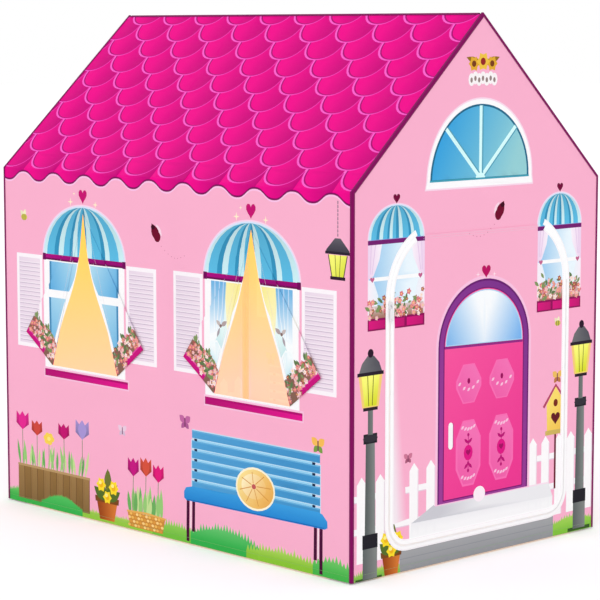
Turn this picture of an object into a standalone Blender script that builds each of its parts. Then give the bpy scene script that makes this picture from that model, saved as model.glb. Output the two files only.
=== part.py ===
"""House-shaped play tent: a printed cloth cover over a frame of push-fit plastic poles.

The front gable with the zipped door faces -Y, the ridge runs along Y, and the tent stands on Z = 0.
Every size is in metres.
"""

from math import asin, atan2, cos, pi, radians, sin, sqrt, tan

import bmesh
import bpy
from mathutils import Matrix, Vector

# Cover, outside sizes
COVER_WIDTH = 0.680
COVER_LENGTH = 1.030
EAVE_HEIGHT = 0.705
RIDGE_HEIGHT = 1.020
CLOTH = 0.0008
HEM_LIFT = 0.003
BINDING_RADIUS = 0.003
BINDING_INSET = 0.002

# Running fits between neighbouring pieces
GAP = 0.0003
FOLD_GAP = 0.0009
CUT_OVERRUN = 0.010
MERGE_DISTANCE = 0.000003

# Poles and the sockets that hold them
POLE_RADIUS = 0.008
POLE_WALL = 0.0012
POLE_SIDES = 12
SOCKET_WALL = 0.002
SOCKET_DEPTH = 0.030
POLE_STOP = 0.024
COLLAR_RISE = 0.0012
COLLAR_LENGTH = 0.006
WEB_THICKNESS = 0.003
WEB_REACH = 0.040
BASE_RAIL_HEIGHT = 0.014
UPRIGHT_JOINT_HEIGHT = 0.417
SPIGOT_LENGTH = 0.030
HUB_SIDES = 12
HUB_RINGS = 8
HUB_TURN = radians(8)

# Doorway, measured to the line where the zip's two halves meet
DOOR_HALF_WIDTH = 0.245
DOOR_BOTTOM = 0.052
DOOR_TOP = 0.620
DOOR_TOP_HALF_WIDTH = 0.175
DOOR_SHOULDER_HEIGHT = 0.508
DOOR_CORNER_RADIUS = 0.045
DOOR_SEAM = 0.010
DOOR_SEGMENTS = 3
ARC_STEPS = 6

# Zip
TAPE_WIDTH = 0.013
TAPE_THICKNESS = 0.0005
COIL_WIDTH = 0.0022
COIL_HEIGHT = 0.0024
CLOTH_SETBACK = 0.003
COIL_SETBACK = 0.0008
TAPE_BITE = 0.0003
STOP_LENGTH = 0.004
STOP_RISE = 0.0012
SLIDER_LENGTH = 0.012
SLIDER_WIDTH = 0.010
SLIDER_TAIL_WIDTH = 0.0076
SLIDER_PLATE = 0.0012
SLIDER_LIP = 0.0005
SLIDER_ROUNDING = 0.0008
CROWN_WIDTH = 0.0016
CROWN_HEIGHT = 0.0036
CROWN_BAR = 0.0009
CROWN_LENGTH = 0.0084
TAB_LENGTH = 0.030
TAB_WIDTH = 0.0080
TAB_THICKNESS = 0.0012
TAB_PIN = 0.0012
TAB_WINDOW_LENGTH = 0.0044
TAB_WINDOW_WIDTH = 0.0030
TAB_EYE_RADIUS = 0.0016
TAB_EYE_SETBACK = 0.005

# Windows in the left wall: an upright slit and a cut along the sill
WINDOW_SPACING = 0.500
WINDOW_SILL_HEIGHT = 0.305
WINDOW_HEIGHT = 0.320
WINDOW_HALF_WIDTH = 0.105
FLAP_CLEARANCE = 0.0006

# Worked out from the sizes above
HALF_WIDTH = COVER_WIDTH / 2
HALF_LENGTH = COVER_LENGTH / 2
PITCH = atan2(RIDGE_HEIGHT - EAVE_HEIGHT, HALF_WIDTH)
SOCKET_RADIUS = POLE_RADIUS + GAP + SOCKET_WALL
COLLAR_RADIUS = SOCKET_RADIUS + COLLAR_RISE
ARM_LENGTH = POLE_STOP + SOCKET_DEPTH
FRAME_INSET = CLOTH + GAP + COLLAR_RADIUS
BINDING_MARGIN = BINDING_INSET + BINDING_RADIUS + GAP
DOOR_SHOULDER_RISE = DOOR_TOP - DOOR_SHOULDER_HEIGHT
DOOR_SHOULDER_RUN = DOOR_HALF_WIDTH - DOOR_TOP_HALF_WIDTH
DOOR_SHOULDER_RADIUS = (DOOR_SHOULDER_RISE**2 + DOOR_SHOULDER_RUN**2) / (2 * DOOR_SHOULDER_RUN)
TAPE_EDGE = GAP / 2 + TAPE_BITE
CHANNEL_HALF_WIDTH = GAP / 2 + COIL_WIDTH + GAP
FLAP_FACE = GAP + CLOTH
COIL_FACE = GAP + COIL_HEIGHT
SLIDER_BASE = COIL_FACE - SLIDER_LIP
SLIDER_TOP = COIL_FACE + GAP + SLIDER_PLATE
ZIP_TOP = DOOR_SHOULDER_HEIGHT - GAP
SLIDER_HEIGHT = ZIP_TOP - STOP_LENGTH - GAP - SLIDER_LENGTH / 2
TAB_AXIS_RISE = SLIDER_TOP + GAP + TAB_PIN / 2

# Colours, as a screen shows them
PINK = (0.97, 0.69, 0.80)
PLUM = (0.43, 0.04, 0.31)
WHITE = (0.95, 0.95, 0.95)
POLE_WHITE = (0.90, 0.90, 0.88)
ZIP_WHITE = (0.93, 0.93, 0.94)

# Surface finish
SMOOTH_ANGLE = radians(35)
PLASTIC_ROUGHNESS = 0.4
POLE_ROUGHNESS = 0.35
METAL_ROUGHNESS = 0.4
CLOTH_ROUGHNESS = 0.7
TAPE_ROUGHNESS = 0.6

parts = None
cutters = None


def make_collections():
    global parts, cutters
    for old in list(bpy.data.objects):
        bpy.data.objects.remove(old)
    parts = bpy.data.collections.new("kids_play_tent")
    cutters = bpy.data.collections.new("kids_play_tent_cutters")
    bpy.context.scene.collection.children.link(parts)
    bpy.context.scene.collection.children.link(cutters)


def linear(channel):
    return channel / 12.92 if channel <= 0.04045 else ((channel + 0.055) / 1.055) ** 2.4


def paint(piece, colour, roughness):
    surface = bpy.data.materials.new(piece.name)
    surface.use_nodes = True
    shader = surface.node_tree.nodes["Principled BSDF"]
    shader.inputs["Base Color"].default_value = (*map(linear, colour), 1)
    shader.inputs["Roughness"].default_value = roughness
    shader.inputs["Metallic"].default_value = 0
    piece.data.materials.clear()
    piece.data.materials.append(surface)


def add_part(name, mesh, colour, roughness, origin=(0, 0, 0)):
    """Puts a mesh made in world coordinates into the model, with its origin where its joint is."""
    origin = Vector(origin)
    mesh.transform(Matrix.Translation(-origin))
    piece = bpy.data.objects.new(name, mesh)
    piece.location = origin
    parts.objects.link(piece)
    mesh.shade_smooth()
    mesh.set_sharp_from_angle(angle=SMOOTH_ANGLE)
    paint(piece, colour, roughness)
    return piece


def add_guide(name, data):
    guide = bpy.data.objects.new(name, data)
    guide.hide_render = True
    guide.display_type = "WIRE"
    cutters.objects.link(guide)
    return guide


def plane_curve(name, loops, closed=True):
    """A flat curve with one straight-edged spline for each loop of points."""
    curve = bpy.data.curves.new(name, "CURVE")
    curve.dimensions = "2D"
    for loop in loops:
        spline = curve.splines.new("POLY")
        spline.points.add(len(loop) - 1)
        for point, (x, y) in zip(spline.points, loop):
            point.co = (x, y, 0, 1)
        spline.use_cyclic_u = closed
    return curve


def evaluated(piece):
    """An object's mesh as its modifiers leave it. The object is removed."""
    bpy.context.view_layer.update()
    shown = piece.evaluated_get(bpy.context.evaluated_depsgraph_get())
    mesh = bpy.data.meshes.new_from_object(shown)
    bpy.data.objects.remove(piece)
    return mesh


def welded(piece):
    """The same, with loose caps welded on and the faces turned outwards."""
    mesh = evaluated(piece)
    shape = bmesh.new()
    shape.from_mesh(mesh)
    bmesh.ops.remove_doubles(shape, verts=shape.verts, dist=MERGE_DISTANCE)
    bmesh.ops.recalc_face_normals(shape, faces=shape.faces)
    shape.to_mesh(mesh)
    shape.free()
    return mesh


def sheet(loops, inner, outer):
    """Flat outline between two levels of its local Z."""
    curve = plane_curve("sheet", loops)
    curve.fill_mode = "BOTH"
    curve.extrude = (outer - inner) / 2
    mesh = welded(add_guide("sheet", curve))
    mesh.transform(Matrix.Translation((0, 0, (outer + inner) / 2)))
    return mesh


def swept(path, profile):
    """A closed profile carried along a flat path: its first axis points to the right of the path."""
    guide = add_guide("profile", plane_curve("profile", [profile]))
    curve = plane_curve("path", [path], closed=False)
    curve.bevel_mode = "OBJECT"
    curve.bevel_object = guide
    curve.use_fill_caps = True
    mesh = welded(add_guide("path", curve))
    bpy.data.objects.remove(guide)
    return mesh


def rod(points, radius, resolution=2):
    """A round bar along points in space."""
    curve = bpy.data.curves.new("rod", "CURVE")
    curve.dimensions = "3D"
    spline = curve.splines.new("POLY")
    spline.points.add(len(points) - 1)
    for point, place in zip(spline.points, points):
        point.co = (*place, 1)
    curve.bevel_depth = radius
    curve.bevel_resolution = resolution
    curve.use_fill_caps = True
    return welded(add_guide("rod", curve))


def turned(profile, sides=POLE_SIDES):
    """A profile of (radius, height) points spun round Z: a closed loop, or a line that ends on the axis."""
    mesh = bpy.data.meshes.new("turned")
    rim = [(radius, 0, height) for radius, height in profile]
    count = len(rim)
    edges = [(n, n + 1) for n in range(count - 1)]
    if profile[0][0] > 0:
        edges.append((count - 1, 0))
    mesh.from_pydata(rim, edges, [])
    piece = add_guide("turned", mesh)
    screw = piece.modifiers.new("spin", "SCREW")
    screw.steps = sides
    screw.render_steps = sides
    screw.use_merge_vertices = True
    screw.merge_threshold = MERGE_DISTANCE
    return welded(piece)


def along(mesh, start, direction):
    """Turns a mesh made along Z so that it runs from start in a direction."""
    turn = Vector(direction).to_track_quat("Z", "Y").to_matrix().to_4x4()
    mesh.transform(Matrix.Translation(start) @ turn)
    return mesh


def boolean(mesh, others, operation):
    """One mesh after a Boolean with each of the others in turn."""
    piece = add_guide("body", mesh)
    for other in others:
        tool = add_guide("tool", other)
        cut = piece.modifiers.new("cut", "BOOLEAN")
        cut.operation = operation
        cut.solver = "MANIFOLD"  # EXACT leaves open edges where the moulded arms meet
        cut.object = tool
    tools = [cut.object for cut in piece.modifiers]
    result = evaluated(piece)
    for tool in tools:
        bpy.data.objects.remove(tool)
    return result


def fused(meshes):
    return boolean(meshes[0], meshes[1:], "UNION")


def mirrored(points):
    return [(-x, y) for x, y in reversed(points)]


def inset(points, distances):
    """A convex outline with each edge moved inwards by its own distance. Points run anticlockwise."""
    count = len(points)
    lines = []
    for n, distance in enumerate(distances):
        start = Vector(points[n])
        run = (Vector(points[(n + 1) % count]) - start).normalized()
        lines.append((start + distance * Vector((-run.y, run.x)), run))
    corners = []
    for n in range(count):
        (a, along_a), (b, along_b) = lines[n - 1], lines[n]
        step = (b - a).cross(along_b) / along_a.cross(along_b)
        corners.append(tuple(a + step * along_a))
    return corners


def house(distance, bottom=HEM_LIFT):
    """The gable's outline, moved inwards from the cover's faces, from the lower left corner round."""
    corners = [
        (-HALF_WIDTH, bottom),
        (HALF_WIDTH, bottom),
        (HALF_WIDTH, EAVE_HEIGHT),
        (0, RIDGE_HEIGHT),
        (-HALF_WIDTH, EAVE_HEIGHT),
    ]
    return inset(corners, [0, distance, distance, distance, distance])


def front_plane(mesh, face=-HALF_LENGTH):
    """From (across, up, out) to a plane that faces -Y."""
    mesh.transform(Matrix.Translation((0, face, 0)) @ Matrix.Rotation(pi / 2, 4, "X"))
    return mesh


def rear_plane(mesh):
    mesh.transform(Matrix.Rotation(pi, 4, "Z") @ Matrix.Translation((0, -HALF_LENGTH, 0)))
    return mesh


def left_plane(mesh):
    """From (across, up, out) to the plane of the left wall, which faces -X."""
    turn = Matrix.Rotation(-pi / 2, 4, "Z") @ Matrix.Rotation(pi / 2, 4, "X")
    mesh.transform(Matrix.Translation((-HALF_WIDTH, 0, 0)) @ turn)
    return mesh


# Frame


def frame_nodes():
    """Where the poles' centre lines meet, by name."""
    across = HALF_WIDTH - FRAME_INSET
    length = HALF_LENGTH - FRAME_INSET
    eave = EAVE_HEIGHT + FRAME_INSET * tan(PITCH) - FRAME_INSET / cos(PITCH)
    below_bead = BINDING_INSET / cos(PITCH) + BINDING_RADIUS + GAP + COLLAR_RADIUS
    ridge = RIDGE_HEIGHT - max(FRAME_INSET / cos(PITCH), below_bead)
    places = {}
    for end, y in (("front", -length), ("rear", length)):
        places["ridge_" + end] = Vector((0, y, ridge))
        for side, x in (("left", -across), ("right", across)):
            places[f"base_{end}_{side}"] = Vector((x, y, BASE_RAIL_HEIGHT))
            places[f"eave_{end}_{side}"] = Vector((x, y, eave))
    return places


def pole(start, end):
    """A hollow pole between two points of its centre line."""
    run = end - start
    bore = POLE_RADIUS - POLE_WALL
    profile = [(POLE_RADIUS, run.length), (POLE_RADIUS, 0), (bore, 0), (bore, run.length)]
    return along(turned(profile), start, run)


def spigot_pole(start, end):
    """A hollow pole that carries on past its end as a narrowed spigot, which fits another pole's bore."""
    run = end - start
    bore = POLE_RADIUS - POLE_WALL
    spigot = bore - GAP
    tip = run.length + SPIGOT_LENGTH
    profile = [
        (spigot, tip),
        (spigot, run.length),
        (POLE_RADIUS, run.length),
        (POLE_RADIUS, 0),
        (bore, 0),
        (bore, run.length - POLE_WALL),
        (spigot - POLE_WALL, run.length),
        (spigot - POLE_WALL, tip),
    ]
    return along(turned(profile), start, run)


def half_poles(start, end, middle):
    """The two halves of a pole run between two connectors: the first one's spigot fits the second."""
    run = (end - start).normalized()
    socket = (POLE_STOP + GAP) * run
    return spigot_pole(start + socket, middle), pole(middle + GAP * run, end - socket)


def arm(direction, back):
    """A solid socket arm with a collar at its mouth."""
    profile = [
        (0, ARM_LENGTH),
        (COLLAR_RADIUS, ARM_LENGTH),
        (COLLAR_RADIUS, ARM_LENGTH - COLLAR_LENGTH),
        (SOCKET_RADIUS, ARM_LENGTH - COLLAR_LENGTH),
        (SOCKET_RADIUS, -back),
        (0, -back),
    ]
    return along(turned(profile), (0, 0, 0), direction)


def socket_bore(direction):
    radius = POLE_RADIUS + GAP
    far = ARM_LENGTH + CUT_OVERRUN
    profile = [(0, far), (radius, far), (radius, POLE_STOP), (0, POLE_STOP)]
    return along(turned(profile), (0, 0, 0), direction)


def web(first, second):
    """A stiffening web in the corner between two arms."""
    corner = sheet([[(0, 0), (WEB_REACH, 0), (0, WEB_REACH)]], -WEB_THICKNESS / 2, WEB_THICKNESS / 2)
    first, second = Vector(first), Vector(second)
    corner.transform(Matrix((first, second, first.cross(second))).transposed().to_4x4())
    return corner


def hub():
    """The ball where a connector's arms meet, turned so that its edges cross the arms' edges."""
    shape = bmesh.new()
    bmesh.ops.create_uvsphere(shape, u_segments=HUB_SIDES, v_segments=HUB_RINGS, radius=COLLAR_RADIUS)
    mesh = bpy.data.meshes.new("hub")
    shape.to_mesh(mesh)
    shape.free()
    mesh.transform(Matrix.Rotation(HUB_TURN, 4, "X") @ Matrix.Rotation(HUB_TURN, 4, "Z"))
    return mesh


def connector(place, directions, webs, foot=0):
    """A moulded connector: socket arms that meet in a ball, with webs between pairs of them."""
    arms = [hub()]
    for n, direction in enumerate(directions):
        back = foot if n == 0 else 0
        arms.append(arm(direction, back))
    ribs = [web(directions[a], directions[b]) for a, b in webs]
    body = boolean(fused(arms + ribs), [socket_bore(direction) for direction in directions], "DIFFERENCE")
    body.transform(Matrix.Translation(place))
    return body


def inward(end, side):
    """Directions from a connector towards the other end and the other side of the frame."""
    return (0, 1 if end == "front" else -1, 0), (1 if side == "left" else -1, 0, 0)


def make_connectors(places):
    up, down = (0, 0, 1), (0, 0, -1)
    for end in ("front", "rear"):
        lengthwise, _ = inward(end, "left")
        ridge = places["ridge_" + end]
        slopes = [(places[f"eave_{end}_{side}"] - ridge).normalized() for side in ("left", "right")]
        mesh = connector(ridge, [lengthwise, *slopes], [])
        add_part("ridge_connector_" + end, mesh, WHITE, PLASTIC_ROUGHNESS)
        for side in ("left", "right"):
            lengthwise, across = inward(end, side)
            place = places[f"base_{end}_{side}"]
            arms = [up, lengthwise, across]
            mesh = connector(place, arms, [(0, 1), (0, 2), (1, 2)], foot=BASE_RAIL_HEIGHT)
            add_part(f"base_connector_{end}_{side}", mesh, WHITE, PLASTIC_ROUGHNESS)
            place = places[f"eave_{end}_{side}"]
            slope = (ridge - place).normalized()
            mesh = connector(place, [down, lengthwise, across, slope], [(0, 1), (0, 2), (1, 2)])
            add_part(f"eave_connector_{end}_{side}", mesh, WHITE, PLASTIC_ROUGHNESS)


def add_poles(names, meshes):
    for name, mesh in zip(names, meshes):
        add_part(name, mesh, POLE_WHITE, POLE_ROUGHNESS)


def make_uprights(places):
    for end in ("front", "rear"):
        for side in ("left", "right"):
            low, high = places[f"base_{end}_{side}"], places[f"eave_{end}_{side}"]
            middle = Vector((low.x, low.y, UPRIGHT_JOINT_HEIGHT))
            names = [f"{half}_upright_{end}_{side}" for half in ("lower", "upper")]
            add_poles(names, half_poles(low, high, middle))


def make_side_rails(places, level):
    for side in ("left", "right"):
        front, rear = places[f"{level}_front_{side}"], places[f"{level}_rear_{side}"]
        names = [f"{level}_side_rail_{side}_{end}" for end in ("front", "rear")]
        add_poles(names, half_poles(front, rear, (front + rear) / 2))


def make_cross_rails(places, level):
    for end in ("front", "rear"):
        left, right = places[f"{level}_{end}_left"], places[f"{level}_{end}_right"]
        names = [f"{level}_cross_rail_{end}_{side}" for side in ("left", "right")]
        add_poles(names, half_poles(left, right, (left + right) / 2))


def make_roof_poles(places):
    front, rear = places["ridge_front"], places["ridge_rear"]
    add_poles(["ridge_pole_front", "ridge_pole_rear"], half_poles(front, rear, (front + rear) / 2))
    for end in ("front", "rear"):
        for side in ("left", "right"):
            low, high = places[f"eave_{end}_{side}"], places["ridge_" + end]
            socket = (POLE_STOP + GAP) * (high - low).normalized()
            add_poles([f"rafter_{end}_{side}"], [pole(low + socket, high - socket)])


def make_frame():
    places = frame_nodes()
    make_connectors(places)
    make_uprights(places)
    for level in ("base", "eave"):
        make_side_rails(places, level)
        make_cross_rails(places, level)
    make_roof_poles(places)


# Cover


def side_sheet():
    """The sheet of wall and roof on the left, as a bent profile drawn out along Y."""
    slope = Vector((cos(PITCH), sin(PITCH)))
    apex = Vector((0, RIDGE_HEIGHT))
    ridge_margin = BINDING_INSET * tan(PITCH) + BINDING_RADIUS + GAP
    top = apex - ridge_margin * slope
    fold_inner = EAVE_HEIGHT + CLOTH * tan(PITCH) - CLOTH / cos(PITCH)
    across = Vector((sin(PITCH), -cos(PITCH)))
    profile = [
        (-HALF_WIDTH, HEM_LIFT),
        (CLOTH - HALF_WIDTH, HEM_LIFT),
        (CLOTH - HALF_WIDTH, fold_inner),
        tuple(top + CLOTH * across),
        tuple(top),
        (-HALF_WIDTH, EAVE_HEIGHT),
    ]
    half = HALF_LENGTH - BINDING_MARGIN
    return front_plane(sheet([profile], -half, half), face=0)


def window_places():
    """Where the windows' centre lines are across the left wall, seen from outside."""
    return {"front": WINDOW_SPACING / 2, "rear": -WINDOW_SPACING / 2}


def window_outline(across):
    return [
        (across - WINDOW_HALF_WIDTH, WINDOW_SILL_HEIGHT),
        (across + WINDOW_HALF_WIDTH, WINDOW_SILL_HEIGHT),
        (across, WINDOW_SILL_HEIGHT + WINDOW_HEIGHT),
    ]


def window_cutter(across):
    return left_plane(sheet([window_outline(across)], -CUT_OVERRUN, CUT_OVERRUN))


def make_side_panels():
    cut = boolean(side_sheet(), [window_cutter(across) for across in window_places().values()], "DIFFERENCE")
    add_part("left_side_panel", cut, PINK, CLOTH_ROUGHNESS)
    plain = side_sheet()
    plain.transform(Matrix.Rotation(pi, 4, "Z"))
    add_part("right_side_panel", plain, PINK, CLOTH_ROUGHNESS)


def flipped(point, start, end):
    """A point mirrored in the line between two others."""
    start = Vector(start)
    run = (Vector(end) - start).normalized()
    offset = Vector(point) - start
    return tuple(start + 2 * offset.dot(run) * run - offset)


def window_flap(across, side):
    """Half of a window's cloth, folded back on its slanted edge and lying on the wall."""
    foot = (across, WINDOW_SILL_HEIGHT)
    head = (across, WINDOW_SILL_HEIGHT + WINDOW_HEIGHT)
    corner = (across + side * WINDOW_HALF_WIDTH, WINDOW_SILL_HEIGHT)
    outline = [foot, corner, head] if side > 0 else [foot, head, corner]
    closed = inset(outline, [FLAP_CLEARANCE] * len(outline))
    folded = [flipped(point, corner, head) for point in closed]
    return left_plane(sheet([folded], GAP, FLAP_FACE))


def make_window_flaps():
    for place, across in window_places().items():
        for name, side in (("front", 1), ("rear", -1)):
            along_wall = -across - side * WINDOW_HALF_WIDTH / 2
            hinge = (-HALF_WIDTH, along_wall, WINDOW_SILL_HEIGHT + WINDOW_HEIGHT / 2)
            mesh = window_flap(across, side)
            add_part(f"{place}_window_flap_{name}", mesh, PINK, CLOTH_ROUGHNESS, origin=hinge)


def door_half_width(height, out):
    """Half the doorway's width at a height, moved outwards from the zip's line."""
    above = height - DOOR_SHOULDER_HEIGHT
    if above > 0:
        radius = DOOR_SHOULDER_RADIUS + out
        return DOOR_HALF_WIDTH - DOOR_SHOULDER_RADIUS + sqrt(radius**2 - above**2)
    below = DOOR_BOTTOM + DOOR_CORNER_RADIUS - height
    if below > 0:
        radius = DOOR_CORNER_RADIUS + out
        return DOOR_HALF_WIDTH - DOOR_CORNER_RADIUS + sqrt(max(radius**2 - below**2, 0))
    return DOOR_HALF_WIDTH + out


def door_heights(low, high, out):
    """Heights from low to high where the doorway's side needs a point."""
    heights = [low]
    corner = DOOR_BOTTOM + DOOR_CORNER_RADIUS
    radius = DOOR_CORNER_RADIUS + out
    heights += [corner - radius * cos(n * pi / 2 / ARC_STEPS) for n in range(ARC_STEPS + 1)]
    radius = DOOR_SHOULDER_RADIUS + out
    sweep = asin(DOOR_SHOULDER_RISE / radius)
    heights += [DOOR_SHOULDER_HEIGHT + radius * sin(n * sweep / ARC_STEPS) for n in range(ARC_STEPS + 1)]
    inside = [height for height in heights[1:] if low + GAP < height < high - GAP]
    return [low, *inside, high]


def door_side(low, high, out):
    """Points up the doorway's right side."""
    return [(door_half_width(height, out), height) for height in door_heights(low, high, out)]


def door_outline(low, high, out):
    right = door_side(low, high, out)
    return [*right, *mirrored(right)]


def make_front_wall():
    bottom = DOOR_BOTTOM - CLOTH_SETBACK
    doorway = door_outline(bottom, DOOR_TOP - DOOR_SEAM, CLOTH_SETBACK)
    mesh = sheet([house(BINDING_MARGIN), doorway], -CLOTH, 0)
    add_part("front_wall", front_plane(mesh), PINK, CLOTH_ROUGHNESS)


def make_rear_wall():
    mesh = front_plane(sheet([house(BINDING_MARGIN)], -CLOTH, 0), face=0)
    add_part("rear_wall", rear_plane(mesh), PINK, CLOTH_ROUGHNESS)


def bead(points):
    return rod(points, BINDING_RADIUS)


def make_bindings():
    outline = house(BINDING_INSET)
    path = [outline[0], *reversed(outline[1:])]
    face = HALF_LENGTH - BINDING_INSET
    for name, y in (("front", -face), ("rear", face)):
        add_part(name + "_gable_binding", bead([(x, y, z) for x, z in path]), PLUM, TAPE_ROUGHNESS)
    peak = RIDGE_HEIGHT - BINDING_INSET / cos(PITCH)
    reach = HALF_LENGTH - BINDING_MARGIN
    add_part("ridge_binding", bead([(0, -reach, peak), (0, reach, peak)]), PLUM, TAPE_ROUGHNESS)


def door_folds():
    """The heights between the door flap's segments, from the top down."""
    step = (DOOR_TOP - DOOR_BOTTOM) / DOOR_SEGMENTS
    return [DOOR_TOP - n * step for n in range(DOOR_SEGMENTS + 1)]


def segment_names():
    return ["top", "middle", "bottom"]


def strip(path, near, far, inner, outer):
    """A band beside a path, between two distances to its right and two levels."""
    return swept(path, [(near, inner), (far, inner), (far, outer), (near, outer)])


def door_u(top):
    """The zip's line from a height on the left, down, along the bottom and up the right."""
    right = door_side(DOOR_BOTTOM, top, 0)
    return [*mirrored(right), *right]


def zip_coil(path, side):
    """One half of the zip's coil, beside its line on the wall's side (1) or the door's side (-1)."""
    near, far = GAP / 2, GAP / 2 + COIL_WIDTH
    return strip(path, min(side * near, side * far), max(side * near, side * far), GAP, COIL_FACE)


def door_tape(path):
    return strip(path, -TAPE_WIDTH, -TAPE_EDGE, FLAP_FACE - TAPE_BITE, FLAP_FACE + TAPE_THICKNESS)


def side_paths(low, high):
    """The zip's line up the doorway's right side and down its left side, between two heights."""
    right = door_side(low, high, 0)
    return [right, mirrored(right)]


def door_segment(low, high, last):
    """A segment of the door flap with its share of the zip sewn on: cloth, tape and coil."""
    cloth_low = low + CLOTH_SETBACK if last else low
    cloth = sheet([door_outline(cloth_low, high, TAPE_BITE - COIL_WIDTH)], GAP, FLAP_FACE)
    if last:
        return fused([cloth, door_tape(door_u(high)), zip_coil(door_u(high - COIL_SETBACK), -1)])
    solids = [cloth] + [door_tape(path) for path in side_paths(low, high)]
    if low < ZIP_TOP:
        coil_low, coil_high = low + COIL_SETBACK, min(high - COIL_SETBACK, ZIP_TOP)
        solids += [zip_coil(path, -1) for path in side_paths(coil_low, coil_high)]
    return fused(solids)


def make_door():
    folds = door_folds()
    for n, name in enumerate(segment_names()):
        last = n == DOOR_SEGMENTS - 1
        high = folds[n] - FOLD_GAP / 2
        low = DOOR_BOTTOM if last else folds[n + 1] + FOLD_GAP / 2
        axis = (0, -HALF_LENGTH - FLAP_FACE, folds[n])
        mesh = front_plane(door_segment(low, high, last))
        add_part("door_flap_" + name, mesh, PINK, CLOTH_ROUGHNESS, origin=axis)


def zip_stop(side):
    """An end stop over the wall's half of the coil, at the top of a straight run."""
    near, far = side * GAP / 2, side * (GAP / 2 + COIL_WIDTH)
    across = sorted((side * DOOR_HALF_WIDTH + near, side * DOOR_HALF_WIDTH + far))
    low = ZIP_TOP - STOP_LENGTH
    outline = [(across[0], low), (across[1], low), (across[1], ZIP_TOP), (across[0], ZIP_TOP)]
    return sheet([outline], COIL_FACE - TAPE_BITE, COIL_FACE + STOP_RISE)


def make_wall_tape():
    """The half of the zip that is sewn to the wall: its tape, its coil and the end stops."""
    tape = strip(door_u(DOOR_TOP), TAPE_EDGE, TAPE_WIDTH, GAP, GAP + TAPE_THICKNESS)
    solids = [tape, zip_coil(door_u(ZIP_TOP), 1), zip_stop(-1), zip_stop(1)]
    add_part("wall_zip_tape", front_plane(fused(solids)), ZIP_WHITE, TAPE_ROUGHNESS)


def slider_outline():
    """A slider seen from the front: broad shoulders above, a narrower tail below."""
    top = SLIDER_LENGTH / 2
    wide, narrow = SLIDER_WIDTH / 2, SLIDER_TAIL_WIDTH / 2
    cut = SLIDER_ROUNDING
    right = [
        (narrow - cut, -top),
        (narrow, cut - top),
        (narrow, 0),
        (wide, top / 2),
        (wide, top - cut),
        (wide - cut, top),
    ]
    return [*right, *mirrored(right)]


def crown():
    """The arched bridge on a slider's back."""
    half, height, bar = CROWN_LENGTH / 2, CROWN_HEIGHT, CROWN_BAR
    outer = [(half, -bar), (half, height - bar), (half - bar, height)]
    inner = [(half - bar, -bar), (half - bar, height - 2 * bar), (half - 2 * bar, height - bar)]
    outline = [*outer, *mirrored(outer), *reversed(mirrored(inner)), *reversed(inner)]
    mesh = sheet([outline], -CROWN_WIDTH / 2, CROWN_WIDTH / 2)
    mesh.transform(Matrix(((0, 0, 1), (1, 0, 0), (0, 1, 0))).to_4x4())
    mesh.transform(Matrix.Translation((0, 0, SLIDER_TOP)))
    return mesh


def make_slider():
    body = sheet([slider_outline()], SLIDER_BASE, SLIDER_TOP)
    half = CHANNEL_HALF_WIDTH
    reach = SLIDER_LENGTH
    groove = [(-half, -reach), (half, -reach), (half, reach), (-half, reach)]
    channel = sheet([groove], SLIDER_BASE - CUT_OVERRUN, COIL_FACE + GAP)
    body = boolean(body, [channel], "DIFFERENCE")
    mesh = boolean(body, [crown()], "UNION")
    mesh.transform(Matrix.Translation((-DOOR_HALF_WIDTH, SLIDER_HEIGHT, 0)))
    origin = (-DOOR_HALF_WIDTH, -HALF_LENGTH, SLIDER_HEIGHT)
    add_part("zip_slider", front_plane(mesh), ZIP_WHITE, METAL_ROUGHNESS, origin=origin)


def tab_outline():
    half = TAB_WIDTH / 2
    neck = TAB_WINDOW_WIDTH / 2 + TAB_PIN
    shoulder = -TAB_WINDOW_LENGTH - TAB_PIN
    turns = [n * pi / 2 / ARC_STEPS for n in range(ARC_STEPS + 1)]
    end = [(half * sin(turn), half - TAB_LENGTH - half * cos(turn)) for turn in turns]
    right = [*end, (half, shoulder - half), (neck, shoulder), (neck, TAB_PIN / 2)]
    return [*right, *mirrored(right[1:])]


def make_tab():
    """The pull tab: its top bar lies under the slider's crown, which passes through its window."""
    half, top = TAB_WINDOW_WIDTH / 2, -TAB_PIN / 2
    window = [(-half, top - TAB_WINDOW_LENGTH), (half, top - TAB_WINDOW_LENGTH), (half, top), (-half, top)]
    centre = TAB_EYE_SETBACK - TAB_LENGTH
    turns = [n * 2 * pi / POLE_SIDES for n in range(POLE_SIDES)]
    eye = [(TAB_EYE_RADIUS * cos(turn), centre + TAB_EYE_RADIUS * sin(turn)) for turn in turns]
    mesh = sheet([tab_outline(), window, eye], -TAB_THICKNESS / 2, TAB_THICKNESS / 2)
    mesh.transform(Matrix.Translation((-DOOR_HALF_WIDTH, SLIDER_HEIGHT, TAB_AXIS_RISE)))
    origin = (-DOOR_HALF_WIDTH, -HALF_LENGTH - TAB_AXIS_RISE, SLIDER_HEIGHT)
    add_part("zip_pull_tab", front_plane(mesh), ZIP_WHITE, METAL_ROUGHNESS, origin=origin)


def make_cover():
    make_side_panels()
    make_front_wall()
    make_rear_wall()
    make_bindings()
    make_window_flaps()
    make_door()
    make_wall_tape()
    make_slider()
    make_tab()


def main():
    make_collections()
    make_frame()
    make_cover()


main()
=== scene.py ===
# %% [markdown]
# # A play tent printed like a little house
# The tent is a cover of thin printed cloth, pulled over a frame of push-fit poles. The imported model
# already holds every pole, connector, panel and joint at its real size. This script dresses it: the
# plain panels give way to printed cloth with hems and stitches, and the poles get their plastic.

# %% Load the frame
import math
import random

import bmesh
import bpy
import numpy as np
from mathutils import Matrix, Vector, noise
from mathutils.geometry import delaunay_2d_cdt


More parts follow.
